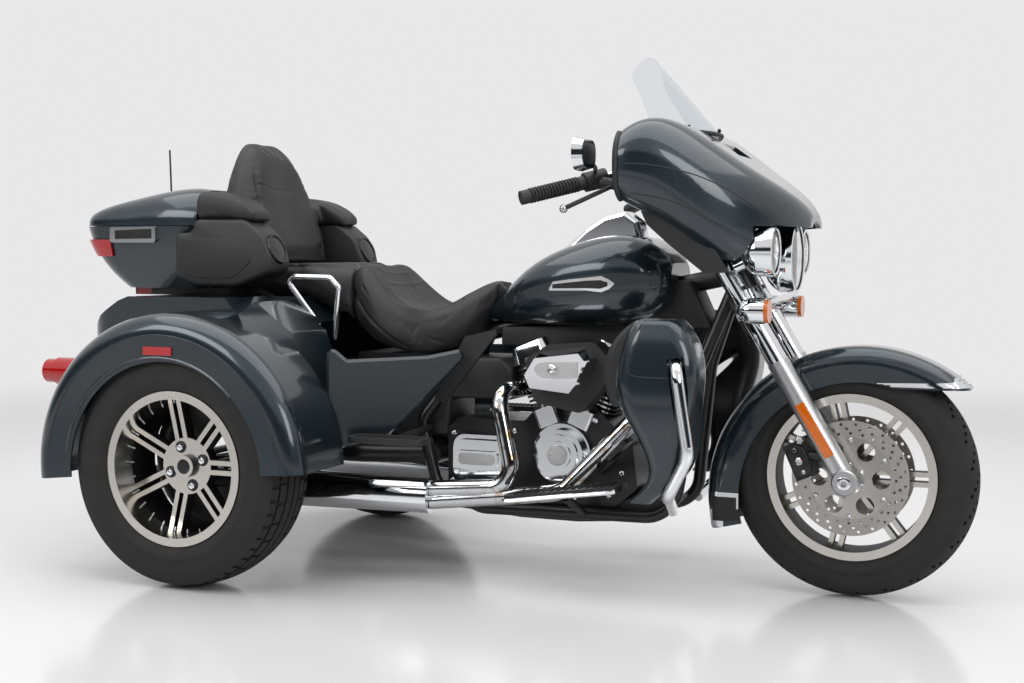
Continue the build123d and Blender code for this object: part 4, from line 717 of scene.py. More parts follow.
# The rider's seat is a deep bucket: raised bolsters round a scooped middle, one seam round the scoop
# and two along each flank, where the side panels meet the back roll.
SCOOP_AHEAD = 425
SCOOP_HALF_LONG = 0.16
SCOOP_HALF_WIDE = 0.15
SCOOP_DEEP = 0.03


def seat_scoop(point):
    """The scoop in the rider's seat."""
    ahead = (point.x - spot(SCOOP_AHEAD, 0, 0).x) / SCOOP_HALF_LONG
    across = point.y / SCOOP_HALF_WIDE
    return SCOOP_DEEP * max(0.0, 1 - ahead * ahead) * max(0.0, 1 - across * across)


scoop_edge = [spot(312, -118, 900), spot(352, -142, 900), spot(430, -150, 900), spot(510, -128, 900),
              spot(580, -92, 900)]
flank = [spot(300, -300, 800), spot(409, -300, 703), spot(480, -300, 672), spot(549, -300, 644)]
back_roll = [spot(268, -300, 779), spot(321, -300, 720), spot(413, -300, 651), spot(455, -300, 628)]
rider_seams = [press("rider_seat", through(scoop_edge, 24), (0, 0, -1)),
               press("rider_seat", through(flank, 24), (0, 1, 0)),
               press("rider_seat", through(back_roll, 24), (0, 1, 0))]
upholster("rider_seat", mirrored(rider_seams), seat_scoop)

# The passenger's seat is a plainer pad with a seam along each upper edge and one across the middle.
# It is sewn from the same vinyl over foam.
edge = [spot(-40, -132, 900), spot(60, -140, 900), spot(160, -140, 900), spot(250, -126, 900)]
middle = [spot(95, -150, 900), spot(95, 0, 900)]
passenger_seams = [press("passenger_seat", through(line, 40), (0, 0, -1)) for line in (edge, middle)]
upholster("passenger_seat", mirrored(passenger_seams))

# The backrest wraps round to two arm pads. Seams run down its sides and pinch it across above the waist.
# It is the same vinyl over foam, fixed in front of the top case.
side_seam = [spot(200, -96, 1226), spot(200, -128, 1160), spot(200, -140, 1100), spot(200, -150, 1000),
             spot(200, -160, 900)]
pinch = [spot(200, -132, 1098), spot(200, -60, 1084), spot(200, 0, 1082)]
arm_seam = [spot(-150, -302, 1200), spot(-60, -304, 1200), spot(10, -300, 1200)]
back_seams = [press("backrest", through(line, 30), (-1, 0, 0)) for line in (side_seam, pinch)]
back_seams.append(press("backrest", through(arm_seam, 30), (0, 0, -1)))
upholster("backrest", mirrored(back_seams))


def plate(name, outline, thick, bevel=0.0, corner=0.0):
    """A flat piece: an outline on its own X and Y, thick along its own Z, with rounded corners and edges."""
    piece = fresh("circle", name, vertices=len(outline), radius=1, fill_type="NGON")
    for vertex, (across, up) in zip(piece.data.vertices, outline):
        vertex.co = (across, up, 0)
    pick(piece, lambda centre, normal: True)
    if corner:
        bpy.ops.mesh.bevel(offset=corner, segments=6, affect="VERTICES")
        bpy.ops.mesh.select_all(action="SELECT")
    bpy.ops.mesh.extrude_region_move(TRANSFORM_OT_translate={"value": (0, 0, thick)})
    bpy.ops.mesh.select_all(action="SELECT")
    bpy.ops.mesh.normals_make_consistent(inside=False)
    bpy.ops.object.mode_set(mode="OBJECT")
    if bevel:
        shape_with(piece, "BEVEL", width=bevel, segments=3, limit_method="ANGLE", angle_limit=radians(40))
    return piece


def seen_from_side(points):
    """Millimetres ahead of the rear axle and above the ground, as metres across and up for a plate."""
    return [(spot(ahead, 0, 0).x, up / 1000) for ahead, up in points]


def strip(name, stations, rows=4):
    """A skin between a lower and an upper edge, by stations in millimetres ahead, low and high."""
    last = len(stations) - 1
    piece = fresh("grid", name, x_subdivisions=last, y_subdivisions=rows, size=2)
    for vertex in piece.data.vertices:
        ahead, low, high = stations[round((vertex.co.x + 1) / 2 * last)]
        share = (vertex.co.y + 1) / 2
        vertex.co = (spot(ahead, 0, 0).x, (low + share * (high - low)) / 1000, 0)
    return piece


def stand(piece, left=0):
    """Turns a piece's own X ahead, Y up and Z to the right, from a plane so far left of the middle."""
    piece.data.transform(Matrix.Translation((0, left / 1000, 0)) @ Matrix.Rotation(pi / 2, 4, "X"))
    return piece


def lay(piece, node, along):
    """Lays a piece onto a solid: vertices keep their height over the base plane, and overhangs go."""
    along = Vector(along).normalized()
    shape = bmesh.new()
    shape.from_mesh(piece.data)
    overhang = []
    for vertex in shape.verts:
        height = -vertex.co.dot(along)
        base = vertex.co + along * height
        place = skin_of(node).ray_cast(base - along * 2, along)[0]
        if place:
            vertex.co = place - along * height
        else:
            overhang.append(vertex)
    bmesh.ops.delete(shape, geom=overhang, context="VERTS")
    shape.to_mesh(piece.data)
    shape.free()
    return piece


def rod(name, points, radius, sides=3):
    """A round wire or tube through points, as mesh."""
    curve = bpy.data.curves.new(name, "CURVE")
    curve.dimensions = "3D"
    curve.bevel_depth = radius
    curve.bevel_resolution = sides
    curve.use_fill_caps = True
    line = curve.splines.new("POLY")
    line.points.add(len(points) - 1)
    for target, point in zip(line.points, points):
        target.co = (*point, 1)
    piece = bpy.data.objects.new(name, curve)
    bpy.context.scene.collection.objects.link(piece)
    bpy.ops.object.select_all(action="DESELECT")
    piece.select_set(True)
    bpy.context.view_layer.objects.active = piece
    bpy.ops.object.convert(target="MESH")
    return bpy.context.object


def both_sides(piece):
    """Adds a piece's mirror image across the middle plane."""
    shape_with(piece, "MIRROR", use_axis=(False, True, False), use_mirror_merge=False)
    return piece


def trim(name, node, points, along, radius, material, body):
    """A thin line that follows a solid's skin on both sides of the trike."""
    line = press(node, through(points, 10), along)
    return settle(both_sides(rod(name, line, radius)), material, body)


# Moulded and cast solids get the rounded edges that their tooling leaves, so that they catch the light.
# Only sharp edges are rounded, each by a few millimetres.
SOFT_EDGES = [
    # node, edge radius in millimetres
    ("air_deflectors", 4), ("air_cleaner_body", 5), ("engine_case", 6), ("brake_calipers", 4),
    ("side_covers", 4), ("footboards", 3), ("foot_controls", 3),
]
for node, edge_mm in SOFT_EDGES:
    cad[node].modifiers.new("joined", "WELD").merge_threshold = WELD_GAP
    rounding = cad[node].modifiers.new("rounded_edges", "BEVEL")
    rounding.width = edge_mm / 1000
    rounding.segments = 3
    rounding.limit_method = "ANGLE"
    rounding.angle_limit = radians(25)

# The windshield is one clear sheet, four millimetres thick, with a rounded top and polished edges.
# It is bent to the fairing's arc and stands in a black gasket, held by three black screws.
SHIELD_ARC = 234
SHIELD_ARC_X = 1066
SHIELD_FOOT = 1213
SHIELD_SLOPE = -193 / 220
FOOT_HALF = 207
SHOULDER_HALF = 165
SHOULDER_UP = 1356
CROWN_RISE = 72


def shield_ahead(left):
    """How far ahead the windshield's foot lies, so far left of the middle, in millimetres."""
    return SHIELD_ARC_X + (SHIELD_ARC ** 2 - left ** 2) ** 0.5


windshield = fresh("grid", "clear_windshield", x_subdivisions=40, y_subdivisions=24, size=2)
for vertex in windshield.data.vertices:
    turn = vertex.co.x * pi / 2
    share = (vertex.co.y + 1) / 2
    left = (FOOT_HALF + share * (SHOULDER_HALF - FOOT_HALF)) * sin(turn)
    crown = SHOULDER_UP + CROWN_RISE * cos(turn) ** 1.5
    up = SHIELD_FOOT + share * (crown - SHIELD_FOOT)
    ahead = shield_ahead(left) + (up - SHIELD_FOOT) * SHIELD_SLOPE
    vertex.co = spot(ahead - 2, left, up)
shape_with(windshield, "SOLIDIFY", thickness=0.004, offset=0)
settle(windshield, sheet, "steering", smooth=50)
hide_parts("windshield")
shield_line = [spot(shield_ahead(left) - 1, left, SHIELD_FOOT + 4) for left in range(-204, 205, 12)]
settle(rod("windshield_gasket", shield_line, 0.005), plastic, "steering")
screws = [(spot(shield_ahead(left) - 4, left, SHIELD_FOOT + 14),
           (cos(left / SHIELD_ARC), sin(left / SHIELD_ARC), 0.4), 0.011) for left in (-140, 0, 140)]
settle(spread(cap_screw, "windshield_screws", screws), black, "steering")

# The fairing is a painted moulding whose nose stops above the lamps like an eyebrow.
# Its shell is cut off straight below the brow, in front of the lamps.
BROW_UP = 966
SKIRT_BACK = 1452
CUT_LONG = 400
CUT_WIDE = 620
fairing = copied(cad["fairing_shell"], "painted_fairing")
shape_with(fairing, "WELD", merge_threshold=WELD_GAP)
cutter = fresh("cube", "skirt_cutter", size=1)
cutter.data.transform(Matrix.Diagonal((CUT_LONG / 1000, CUT_WIDE / 1000, CUT_LONG / 1000, 1)))
cutter.data.transform(Matrix.Translation(spot(SKIRT_BACK + CUT_LONG / 2, 0, BROW_UP - CUT_LONG / 2)))
shape_with(fairing, "BOOLEAN", object=cutter, operation="DIFFERENCE", solver="EXACT")
forget(cutter)
settle(fairing, paint, "steering", smooth=30)
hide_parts("fairing_shell")

# Thin dark gaps part the fairing's moulded panels, and a black rubber lip runs round its rear edge.
# Both follow the shell's skin.
FAIRING_JOINTS = [
    [(1163, 1118), (1232, 1113), (1317, 1093), (1387, 1061), (1447, 1020), (1485, 980)],
    [(1172, 1046), (1271, 1026), (1346, 989), (1405, 957)],
]
for number, joint in enumerate(FAIRING_JOINTS):
    line = [spot(ahead, -420, up) for ahead, up in joint]
    trim(f"fairing_joint_{number}", "fairing_shell", line, (0, 1, 0), 0.0016, plastic, "steering")
lip = [spot(1136, -420, up) for up in range(1010, 1215, 12)]
trim("fairing_lip", "fairing_shell", lip, (0, 1, 0), 0.0075, plastic, "steering")

# Brake discs are drilled steel bands on six-holed carriers, bolted to the hub with six cap screws.
# The band is ground in rings and slightly browned by heat.
BROWNED_MM = 70
axle = middle_of("brake_discs")
disc_steel, tree, shader, where = new_material("ground_disc_steel", Metallic=1.0)
centred, reach, wave = lathe_rings(tree, where, axle)
dull = add_node(tree, "MapRange", {"Value": (wave, 0), "From Min": -1.0, "To Min": 0.22, "To Max": 0.4})
feed(shader, Roughness=(dull, 0))
browned = add_node(tree, "TexNoise", {"Vector": (where, "Object"), "Scale": per_metre(BROWNED_MM),
                                      "Detail": 3.0})
shade = add_node(tree, "Mix", {0: (browned, "Fac"), 6: linear("#a8a39c"), 7: linear("#c9c6c1")},
                 data_type="RGBA")
feed(shader, Base_Color=(shade, 2))
DISC_REACH = 0.150
BAND_IN = 0.108
DISC_THICK = 0.005
DISC_OUT = 0.060
BAND_PROFILE = [(BAND_IN, 0), (DISC_REACH, 0), (DISC_REACH, DISC_THICK), (BAND_IN, DISC_THICK), (BAND_IN, 0)]
CARRIER_PROFILE = [(0.02, -0.001), (0.114, -0.001), (0.114, 0.0035), (0.05, 0.007), (0.02, 0.007),
                   (0.02, -0.001)]
DRILL = 0.004
DRILLED_ROWS = [(0.117, 0), (0.129, 5), (0.141, 10)]  # circle, degrees of shift
DRILLED_EACH = 24
ARMS = 6
WINDOW_CIRCLE = 0.08
WINDOW_SCALE = 6.0
ARM_BOLTS = [(0.036, 0.006, 0.011), (0.1, 0.0045, 0.013)]  # circle, height, size


def own_circle(radius, angle):
    """A place round a piece's own Z."""
    return Vector((radius * cos(angle), radius * sin(angle), 0))


disc = turned("disc_band", BAND_PROFILE, steps=96)
carrier = turned("disc_carrier", CARRIER_PROFILE, steps=96)
drill = fresh("cylinder", "drill", vertices=12, radius=DRILL, depth=0.06)
drills = [(own_circle(circle, tau * index / DRILLED_EACH + radians(shift)), (0, 0, 1), 1.0)
          for circle, shift in DRILLED_ROWS for index in range(DRILLED_EACH)]
windows = [(own_circle(WINDOW_CIRCLE, tau * index / ARMS), (0, 0, 1), WINDOW_SCALE) for index in range(ARMS)]
for part, places in ((disc, drills), (carrier, windows)):
    holes = spread(drill, "drilled_holes", places)
    shape_with(part, "BOOLEAN", object=holes, operation="DIFFERENCE", solver="EXACT")
    forget(holes)
forget(drill)
for side_name, side in (("right", -1), ("left", 1)):
    outward = Vector((0, side, 0))
    face = axle + outward * DISC_OUT
    for part in (disc, carrier):
        copy = copied(part, f"{part.name}_{side_name}")
        copy.matrix_world = facing(face, outward)
        settle(copy, disc_steel, "front_wheel")
    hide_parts("brake_discs")
    bolts = []
    for index in range(ARMS):
        angle = tau * (index + 0.5) / ARMS
        for circle, height, size in ARM_BOLTS:
            point = face + outward * height + circle * Vector((cos(angle), 0, sin(angle)))
            bolts.append((point, outward, size))
    settle(spread(cap_screw, f"disc_bolts_{side_name}", bolts), chrome, "front_wheel")
forget(disc, carrier)

# The front lamps sit in rolled chrome bezels that clamp their lenses.
# Each bezel is a rolled strip with its edge turned in over the lens.
# Each point of a bezel is so much wider than its lens, and so high.
BEZEL = [(-0.008, 0.009), (-0.004, 0.0115), (0.0005, 0.0095), (0.0025, 0.004), (0.0025, -0.012)]
LAMPS = [(spot(1505, 0, 887), 0.092), (spot(1488, -200, 903), 0.062), (spot(1488, 200, 903), 0.062)]
for number, (centre, radius) in enumerate(LAMPS):
    profile = [(radius + wider, height) for wider, height in BEZEL]
    bezel = turned(f"lamp_bezel_{number}", profile, steps=64)
    shape_with(bezel, "SOLIDIFY", thickness=0.0015, offset=-1)
    bezel.matrix_world = facing(centre, (1, 0, 0))
    settle(bezel, chrome, "steering")

# Amber reflectors stick to the outer side of the fork sliders.
# Forged axle clamps and nuts close the legs below.
FORK_LEAN = 31
CLAMP_OUT = 0.1535
REFLECTOR = [(0.075, -0.013), (0.23, -0.013), (0.23, 0.013), (0.075, 0.013)]
CLAMP_PROFILE = [(0.0, 0.0), (0.03, 0.0), (0.034, -0.005), (0.034, -0.028), (0.03, -0.034)]
NUT_PROFILE = [(0.007, -0.004), (0.007, 0.007), (0.012, 0.008), (0.017, 0.006), (0.018, -0.002)]
right = Vector((0, -1, 0))


def leaning(point, degrees):
    """Placing on the right side that turns a piece's own X up a line leaning back, and its own Z outward."""
    up_line = Vector((-sin(radians(degrees)), 0, cos(radians(degrees))))
    return Matrix.Translation(point) @ Matrix((up_line, right.cross(up_line), right)).transposed().to_4x4()


reflector = plate("fork_reflectors", REFLECTOR, 0.009, 0.003)
reflector.data.transform(leaning(axle + right * 0.1425, FORK_LEAN))
settle(both_sides(reflector), lens_glass["amber"], "steering")
clamp = turned("axle_clamps", CLAMP_PROFILE, steps=40)
clamp.data.transform(facing(axle + right * CLAMP_OUT, right))
settle(both_sides(clamp), aluminium, "steering")
axle_nut = turned("axle_nuts", NUT_PROFILE, steps=32)
axle_nut.data.transform(facing(axle + right * CLAMP_OUT, right))
settle(both_sides(axle_nut), chrome, "steering")

# Each brake caliper is a black casting behind the fork leg, with a raised cover.
# Two bright bolts and a larger one between them hold it.
CALIPER_LEAN = 24
CALIPER_FROM_AXLE = Vector((-0.12, -0.117, 0.046))
CALIPER = [(-0.04, -0.014), (-0.028, -0.024), (0.028, -0.024), (0.04, -0.014), (0.04, 0.014), (0.028, 0.024),
           (-0.028, 0.024), (-0.04, 0.014)]
CALIPER_BOLTS = [(-0.03, 0.011), (0.0, 0.02), (0.03, 0.011)]  # along the caliper, size
caliper_face = leaning(axle + CALIPER_FROM_AXLE, CALIPER_LEAN)
caliper = plate("caliper_covers", CALIPER, 0.009, 0.004)
caliper.data.transform(caliper_face)
settle(both_sides(caliper), black, "steering")
pins = [(caliper_face @ Vector((along, 0, 0.008)), right, size) for along, size in CALIPER_BOLTS]
settle(both_sides(spread(cap_screw, "caliper_bolts", pins)), chrome, "steering")


def laid_strip(name, node, stations, thick, material, body, paired=True):
    """A skin laid on a solid's right flank, or on both, and given thickness outward."""
    piece = lay(stand(strip(name, stations)), node, (0, 1, 0))
    shape_with(piece, "SOLIDIFY", thickness=thick, offset=1)
    if paired:
        both_sides(piece)
    return settle(piece, material, body, smooth=50)


def between(stations, steps=6):
    """More stations along the same strip, evenly between the given ones."""
    dense = []
    for first, second in zip(stations, stations[1:]):
        for step in range(steps):
            dense.append([a + (b - a) * step / steps for a, b in zip(first, second)])
    return dense + [list(stations[-1])]


# The front fender carries a long bright spear on each flank, a bright tip and a fine dark line.
# A bright plate with a black panel covers its rear end.
SPEAR = [(1640, 562, 564), (1720, 561, 569), (1820, 561, 572), (1928, 561, 574)]
laid_strip("fender_spears", "front_fender", between(SPEAR), 0.004, chrome, "steering")
TIP = [(1922, 559, 584), (1942, 559, 580), (1958, 560, 576)]
laid_strip("fender_tip", "front_fender", between(TIP), 0.005, chrome, "steering")
PANEL_TRIM = [(1304, 166, 262), (1350, 170, 262), (1398, 176, 262)]
laid_strip("fender_panel_trim", "front_fender", between(PANEL_TRIM), 0.002, chrome, "steering")
PANEL = [(1312, 184, 250), (1350, 186, 250), (1390, 190, 250)]
laid_strip("fender_panel", "front_fender", between(PANEL), 0.0035, plastic, "steering")
STRIPE = [(1542, 597), (1611, 614), (1701, 627), (1803, 619), (1912, 574)]
stripe = [spot(ahead, -200, up) for ahead, up in STRIPE]
trim("fender_stripe", "front_fender", stripe, (0, 1, 0), 0.0014, black, "steering")

# The air cleaner's cover has a brushed aluminium inset with one large screw.
# Fine straight scratches along the trike give the inset a soft streak.
BRUSH_MM = 1.2
brushed, tree, shader, where = new_material("brushed_aluminium", Metallic=1.0)
drawn = add_node(tree, "Mapping", {"Vector": (where, "Object"), "Scale": [0.03, 1, 1]})
lines = add_node(tree, "TexNoise", {"Vector": (drawn, 0), "Scale": per_metre(BRUSH_MM), "Detail": 2.0})
dull = add_node(tree, "MapRange", {"Value": (lines, "Fac"), "To Min": 0.3, "To Max": 0.55})
feed(shader, Roughness=(dull, 0))
shade = add_node(tree, "Mix", {0: (lines, "Fac"), 6: linear("#b9bbbc"), 7: linear("#dcdcdb")},
                 data_type="RGBA")
feed(shader, Base_Color=(shade, 2))
AIR_INSET = [(878, 587, 594), (886, 574, 604), (902, 568, 609), (940, 567, 611), (985, 569, 612),
             (998, 571, 612)]
laid_strip("air_cleaner_inset", "air_cleaner_cover", between(AIR_INSET, 3), 0.003, brushed, "chassis",
           paired=False)
air_screw = press("air_cleaner_cover", [spot(930, -500, 593)], (0, 1, 0))[0] + right * 0.003
settle(spread(cap_screw, "air_cleaner_screw", [(air_screw, right, 0.024)]), chrome, "chassis")

# The gearbox cover and the cam cover have bare brushed insets; round cap screws close the cases.
# The screws stand on the case's right face.
GEAR_INSET = [(602, 312, 332), (612, 306, 338), (655, 305, 339), (700, 306, 338), (710, 312, 332)]
laid_strip("gearbox_inset", "engine_covers", between(GEAR_INSET, 3), 0.002, brushed, "chassis",
           paired=False)
cam_face = press("engine_covers", [spot(895, -500, 345)], (0, 1, 0))[0]
inset = turned("cam_inset", [(0.0, 0.0025), (0.027, 0.0025), (0.0285, 0.001), (0.0285, -0.002)], steps=48)
inset.matrix_world = facing(cam_face, right)
settle(inset, brushed, "chassis")
cam_screws = [(cam_face + Vector((0.02 * side, -0.0025, 0)), right, 0.006) for side in (-1, 1)]
settle(spread(cap_screw, "cam_screws", cam_screws), chrome, "chassis")
CASE_SCREWS = [(560, 440), (566, 386), (562, 250), (630, 452), (700, 448), (752, 400), (756, 300), (760, 232),
               (830, 222), (930, 222), (1030, 236), (1066, 300), (1040, 390), (990, 440)]
heads = press("engine_case", [spot(ahead, -500, up) for ahead, up in CASE_SCREWS], (0, 1, 0))
case_screws = [(head + right * 0.002, right, 0.015) for head in heads]
settle(spread(cap_screw, "case_screws", case_screws), chrome, "chassis")

# Between engine, seat and swingarm hangs the black electrical box; a loom tray lies under the tank,
# a neck cover closes the frame behind the fork, a belly pan shields the crankcase, and the top case
# stands on a moulded support.
SIDE_BOXES = [
    # name, half width, edge rounding in metres, outline from the side
    ("electrical_box", 92, 0.012,
     [(352, 372), (540, 372), (546, 484), (738, 484), (738, 566), (700, 604), (352, 604)]),
    ("loom_tray", 62, 0.006, [(690, 636), (1112, 636), (1120, 700), (1060, 706), (690, 690)]),
    ("neck_cover", 62, 0.01, [(1128, 704), (1298, 698), (1240, 826), (1150, 826)]),
    ("belly_pan", 96, 0.01,
     [(530, 172), (763, 154), (933, 154), (1150, 172), (1206, 222), (1120, 236), (560, 206)]),
    ("case_support", 190, 0.004, [(-470, 768), (-128, 768), (-128, 794), (-470, 794)]),
]
for name, half_wide, rounding, outline in SIDE_BOXES:
    piece = plate(name, seen_from_side(outline), 2 * half_wide / 1000, rounding)
    settle(stand(piece, half_wide), plastic, "chassis")

# Behind each rear wheel a pressed steel shield, coated black, is fixed to the axle.
# It keeps dirt off the brake.
BRAKE_SHIELD = [(0.079, 0.0), (0.079, 0.003), (0.12, 0.007), (0.165, 0.007), (0.198, 0.004), (0.203, 0.0),
                (0.165, 0.002), (0.12, 0.002), (0.079, 0.0)]
shields = turned("brake_shields", BRAKE_SHIELD, steps=72)
shields.data.transform(facing(spot(0, -453, 322), (0, -1, 0)))
settle(both_sides(shields), black, "chassis")

# Each side of the tank has a plain badge: a bright cast frame round a dark plate, both following the tank.
# They are stuck to the paint.
BADGE = [(877, 796, 801), (889, 796, 820), (940, 797, 827), (989, 798, 832), (1032, 794, 837),
         (1053, 802, 828), (1067, 814, 819)]
laid_strip("badge_frames", "fuel_tank", between(BADGE, 3), 0.003, chrome, "chassis")
BADGE_PLATE = [(888, 802, 813), (940, 803, 819), (989, 804, 824), (1030, 803, 826), (1050, 810, 820)]
laid_strip("badge_plates", "fuel_tank", between(BADGE_PLATE, 3), 0.0042, black, "chassis")

# Speaker pods are moulded shells with a round grille in front and a flush side panel.
# They are black grained plastic and flank the backrest in front of the top case.
POD_SIDE = [(-226, 830), (-226, 950), (-168, 954), (-160, 990), (8, 990), (66, 944), (96, 876), (92, 838),
            (-20, 798), (-160, 798)]
POD_PANEL = [(-206, 836), (-206, 936), (-40, 936), (0, 926), (36, 872), (-30, 822), (-150, 822)]
POD_MIDDLE = 272
POD_HALF = 56
POD_CORNER = 0.016
GRILLE_PROFILE = [(0.0, 0.006), (0.02, 0.0055), (0.038, 0.003), (0.039, 0.006), (0.043, 0.006),
                  (0.045, -0.006)]
pods = plate("rounded_speaker_pods", seen_from_side(POD_SIDE), 2 * POD_HALF / 1000, bevel=0.012,
             corner=POD_CORNER)
stand(pods, POD_HALF - POD_MIDDLE)
settle(both_sides(pods), plastic, "chassis")
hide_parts("speaker_pods")
panel = plate("pod_side_panels", seen_from_side(POD_PANEL), 0.0025, bevel=0.001, corner=POD_CORNER)
stand(panel, 0.5 - POD_HALF - POD_MIDDLE)
settle(both_sides(panel), plastic, "chassis")
grille_face = Vector((0.92, 0, 0.38)).normalized()
grille = turned("speaker_grilles", GRILLE_PROFILE, steps=40)
grille.data.transform(facing(spot(82, -POD_MIDDLE, 906), grille_face))
settle(both_sides(grille), black, "chassis")

# The top case's latch has a raised black flap in its bright frame.
# The flap is a thin plate that follows the frame's face.
LATCH_FLAP = [(-448, 934, 960), (-320, 936, 964)]
laid_strip("latch_flap", "case_latch", between(LATCH_FLAP), 0.002, black, "chassis",
           paired=False)

# Rear fenders: a fine dark line follows each arch, and the arch's edge is rolled over a wire.
# The rolled edge is painted with the fender.
ARCH_AHEAD = -22
ARCH_UP = 316
ARCH_SWEEP = [radians(degrees) for degrees in range(10, 173, 3)]
ARCH_TRIMS = [
    # name, reach from the arch's middle in millimetres, wire radius, finish, slot
    ("arch_lines", 362, 0.0013, black, "frame_black"),
    ("arch_lips", 303, 0.004, paint, "paint"),
]
for name, reach_mm, radius, finish, slot in ARCH_TRIMS:
    points = [spot(ARCH_AHEAD + reach_mm * cos(angle), -800, ARCH_UP + reach_mm * sin(angle))
              for angle in ARCH_SWEEP]
    line = press("fender_right", points, (0, 1, 0))
    settle(both_sides(rod(name, line, radius)), finish, "chassis")

# Lower fairings are painted outside and lined with black where they face the engine.
# One finish does both: faces that look inward turn black and lose the lacquer.
lined = paint.copy()
lined.name = "lacquer_with_black_lining"
tree = lined.node_tree
shader = tree.nodes["Principled BSDF"]
where = add_node(tree, "TexCoord")
place = add_node(tree, "SeparateXYZ", {"Vector": (where, "Object")})
look = add_node(tree, "SeparateXYZ", {"Vector": (where, "Normal")})
outward = add_node(tree, "Math", {0: (place, "Y"), 1: (look, "Y")}, operation="MULTIPLY")
lining = add_node(tree, "MapRange", {"Value": (outward, 0), "From Min": -0.04, "From Max": -0.09})
lacquer = shader.inputs["Base Color"].links[0].from_node
shade = add_node(tree, "Mix", {0: (lining, 0), 6: (lacquer, 2), 7: linear("#111213")}, data_type="RGBA")
feed(shader, Base_Color=(shade, 2))
bare = add_node(tree, "MapRange", {"Value": (lining, 0), "To Min": 1.0, "To Max": 0.0})
feed(shader, Coat_Weight=(bare, 0))
dress(lined, "lower_fairings")

# The glove box lid's gap runs round each lower fairing's upper part.
# It is a thin dark line on the fairing's skin.
LID_GAP = [(1208, 722), (1190, 690), (1177, 640), (1179, 606), (1194, 593), (1260, 590), (1335, 588)]
lid_gap = [spot(ahead, -600, up) for ahead, up in LID_GAP]
trim("glove_box_gaps", "lower_fairings", lid_gap, (0, 1, 0), 0.0016, plastic, "chassis")

# Rubber grips have moulded rings; the levers end in polished balls.
# The rings go round the grip at even steps, and the balls are chromed.
RING_PROFILE = [(0.0175, -0.003), (0.0195, -0.0015), (0.0195, 0.0015), (0.0175, 0.003)]
RINGS = 16
FIRST_RING = 0.022
RING_STEP = 0.0085
BALL_PROFILE = [(0.0, 0.011), (0.006, 0.0092), (0.0095, 0.0055), (0.011, 0.0), (0.0095, -0.0055),
                (0.006, -0.0092), (0.0, -0.011)]
grip_in = spot(1031.8, -334.6, 1076.1)
grip_out = spot(908, -440, 1036)
grip_way = (grip_out - grip_in).normalized()
ring = turned("grip_ring", RING_PROFILE, steps=28)
rings = [(grip_in + grip_way * (FIRST_RING + RING_STEP * index), grip_way, 1.0) for index in range(RINGS)]
settle(both_sides(spread(ring, "grip_rings", rings)), rubber, "steering")
ball = turned("lever_ball", BALL_PROFILE, steps=24)
lever_end = [(spot(1000, -400, 1008), (0, 0, 1), 1.0)]
settle(both_sides(spread(ball, "lever_balls", lever_end)), chrome, "steering")
forget(ring, ball)

# Footboards: ribbed rubber mats on both, and a bright bar along the rider's board.
# The ribs run across the boards; the bar is a bent tube on the board's outer edge.
BOARD_SLOPE = 49 / 333
PILLION_SCALE = 0.85
rib = bar("mat_rib", 0.006, 0.07, 0.004, 0.0012, 2)
lean = Matrix.Rotation(-atan2(BOARD_SLOPE, 1), 4, "Y")
rider_ribs = [Matrix.Translation(spot(968 + step, -285, 279.5 + step * BOARD_SLOPE)) @ lean
              for step in range(-130, 131, 20)]
pillion_ribs = [Matrix.Translation(spot(534 + step, -454, 413)) @ Matrix.Scale(PILLION_SCALE, 4)
                for step in range(-84, 85, 14)]
for name, placings in (("rider_mats", rider_ribs), ("passenger_mats", pillion_ribs)):
    both_sides(settle(repeated(rib, name, placings), rubber, "chassis"))
forget(rib)
edge_bar = [spot(812, -338, 243), spot(840, -343, 246), spot(968, -344, 265), spot(1096, -343, 283),
            spot(1122, -338, 288)]
settle(both_sides(rod("footboard_bars", through(edge_bar), 0.006)), chrome, "chassis")

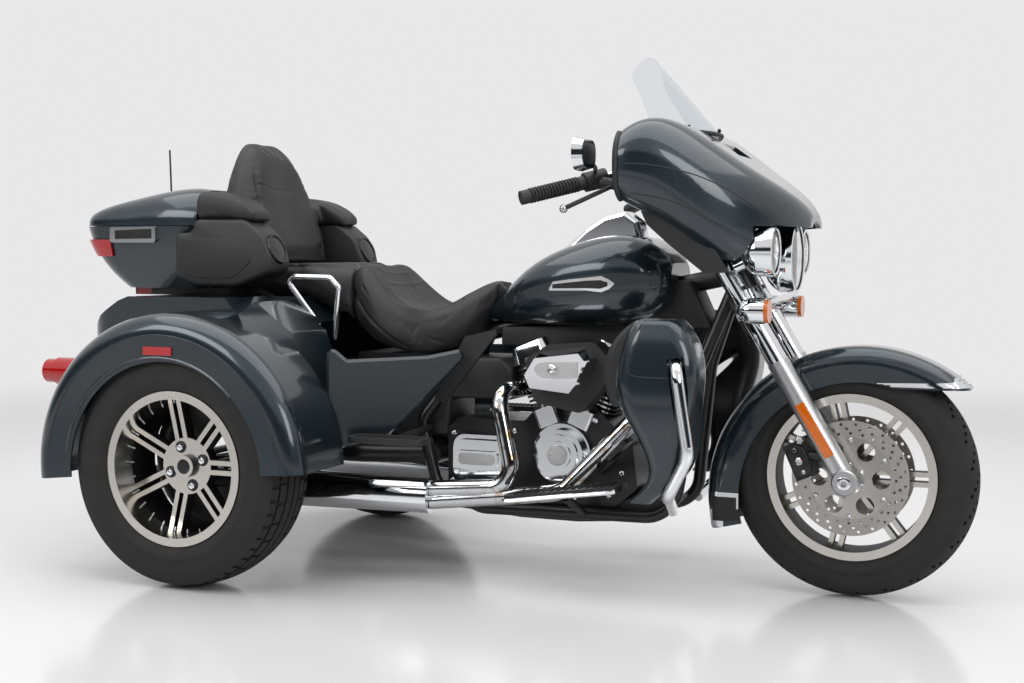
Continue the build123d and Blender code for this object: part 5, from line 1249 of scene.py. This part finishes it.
# The dash carries four round gauges: dark glass under bright rings, with plain faces.
# The rings are rolled and chromed, and stand on the dash.
GAUGE_UP = 1090
GAUGES = [(-52, 0.04), (52, 0.04), (-136, 0.028), (136, 0.028)]  # left of the middle, radius
GAUGE_RING = [(0.0, 0.004), (0.003, 0.009), (0.006, 0.007), (0.006, -0.002)]  # wider than the gauge, height
for number, (left, radius) in enumerate(GAUGES):
    face = press("inner_fairing", [spot(1000, left, GAUGE_UP)], (1, 0, 0))[0]
    rim = [(radius + wider, height) for wider, height in GAUGE_RING]
    gauge = turned(f"gauge_ring_{number}", rim, steps=40)
    shape_with(gauge, "SOLIDIFY", thickness=0.001, offset=-1)
    gauge.matrix_world = facing(face, (-1, 0, 0))
    settle(gauge, chrome, "steering")
    dome = [(0.0, 0.005), (radius * 0.5, 0.0047), (radius + 0.001, 0.0035), (radius + 0.001, -0.002)]
    glass = turned(f"gauge_glass_{number}", dome, steps=40)
    glass.matrix_world = facing(face, (-1, 0, 0))
    settle(glass, black, "steering")

# Mirrors: silvered glass behind, and a black recessed back in the bright shell.
# Both follow the shell's rounded oblong.
MIRROR_STEPS = 32
OBLONG = 0.55  # one would be an ellipse, nought a rectangle
MIRROR_FACES = [
    # name, millimetres ahead, outward side, half width, half height, finish, slot
    ("mirror_glasses", 1051.6, -1, 0.05, 0.034, chrome, "chrome"),
    ("mirror_backs", 1078.2, 1, 0.042, 0.026, black, "frame_black"),
]
for name, ahead, outward, half_wide, half_high, finish, slot in MIRROR_FACES:
    outline = []
    for step in range(MIRROR_STEPS):
        across = cos(tau * step / MIRROR_STEPS)
        up = sin(tau * step / MIRROR_STEPS)
        outline.append((half_wide * copysign(abs(across) ** OBLONG, across),
                        half_high * copysign(abs(up) ** OBLONG, up)))
    pane = plate(name, outline, 0.0015, 0.0005)
    upright = Matrix.Rotation(outward * pi / 2, 4, "Y") @ Matrix.Rotation(pi / 2, 4, "Z")
    pane.data.transform(Matrix.Translation(spot(ahead, -432, 1142)) @ upright)
    settle(both_sides(pane), finish, "steering")

forget(cap_screw, hex_nut)
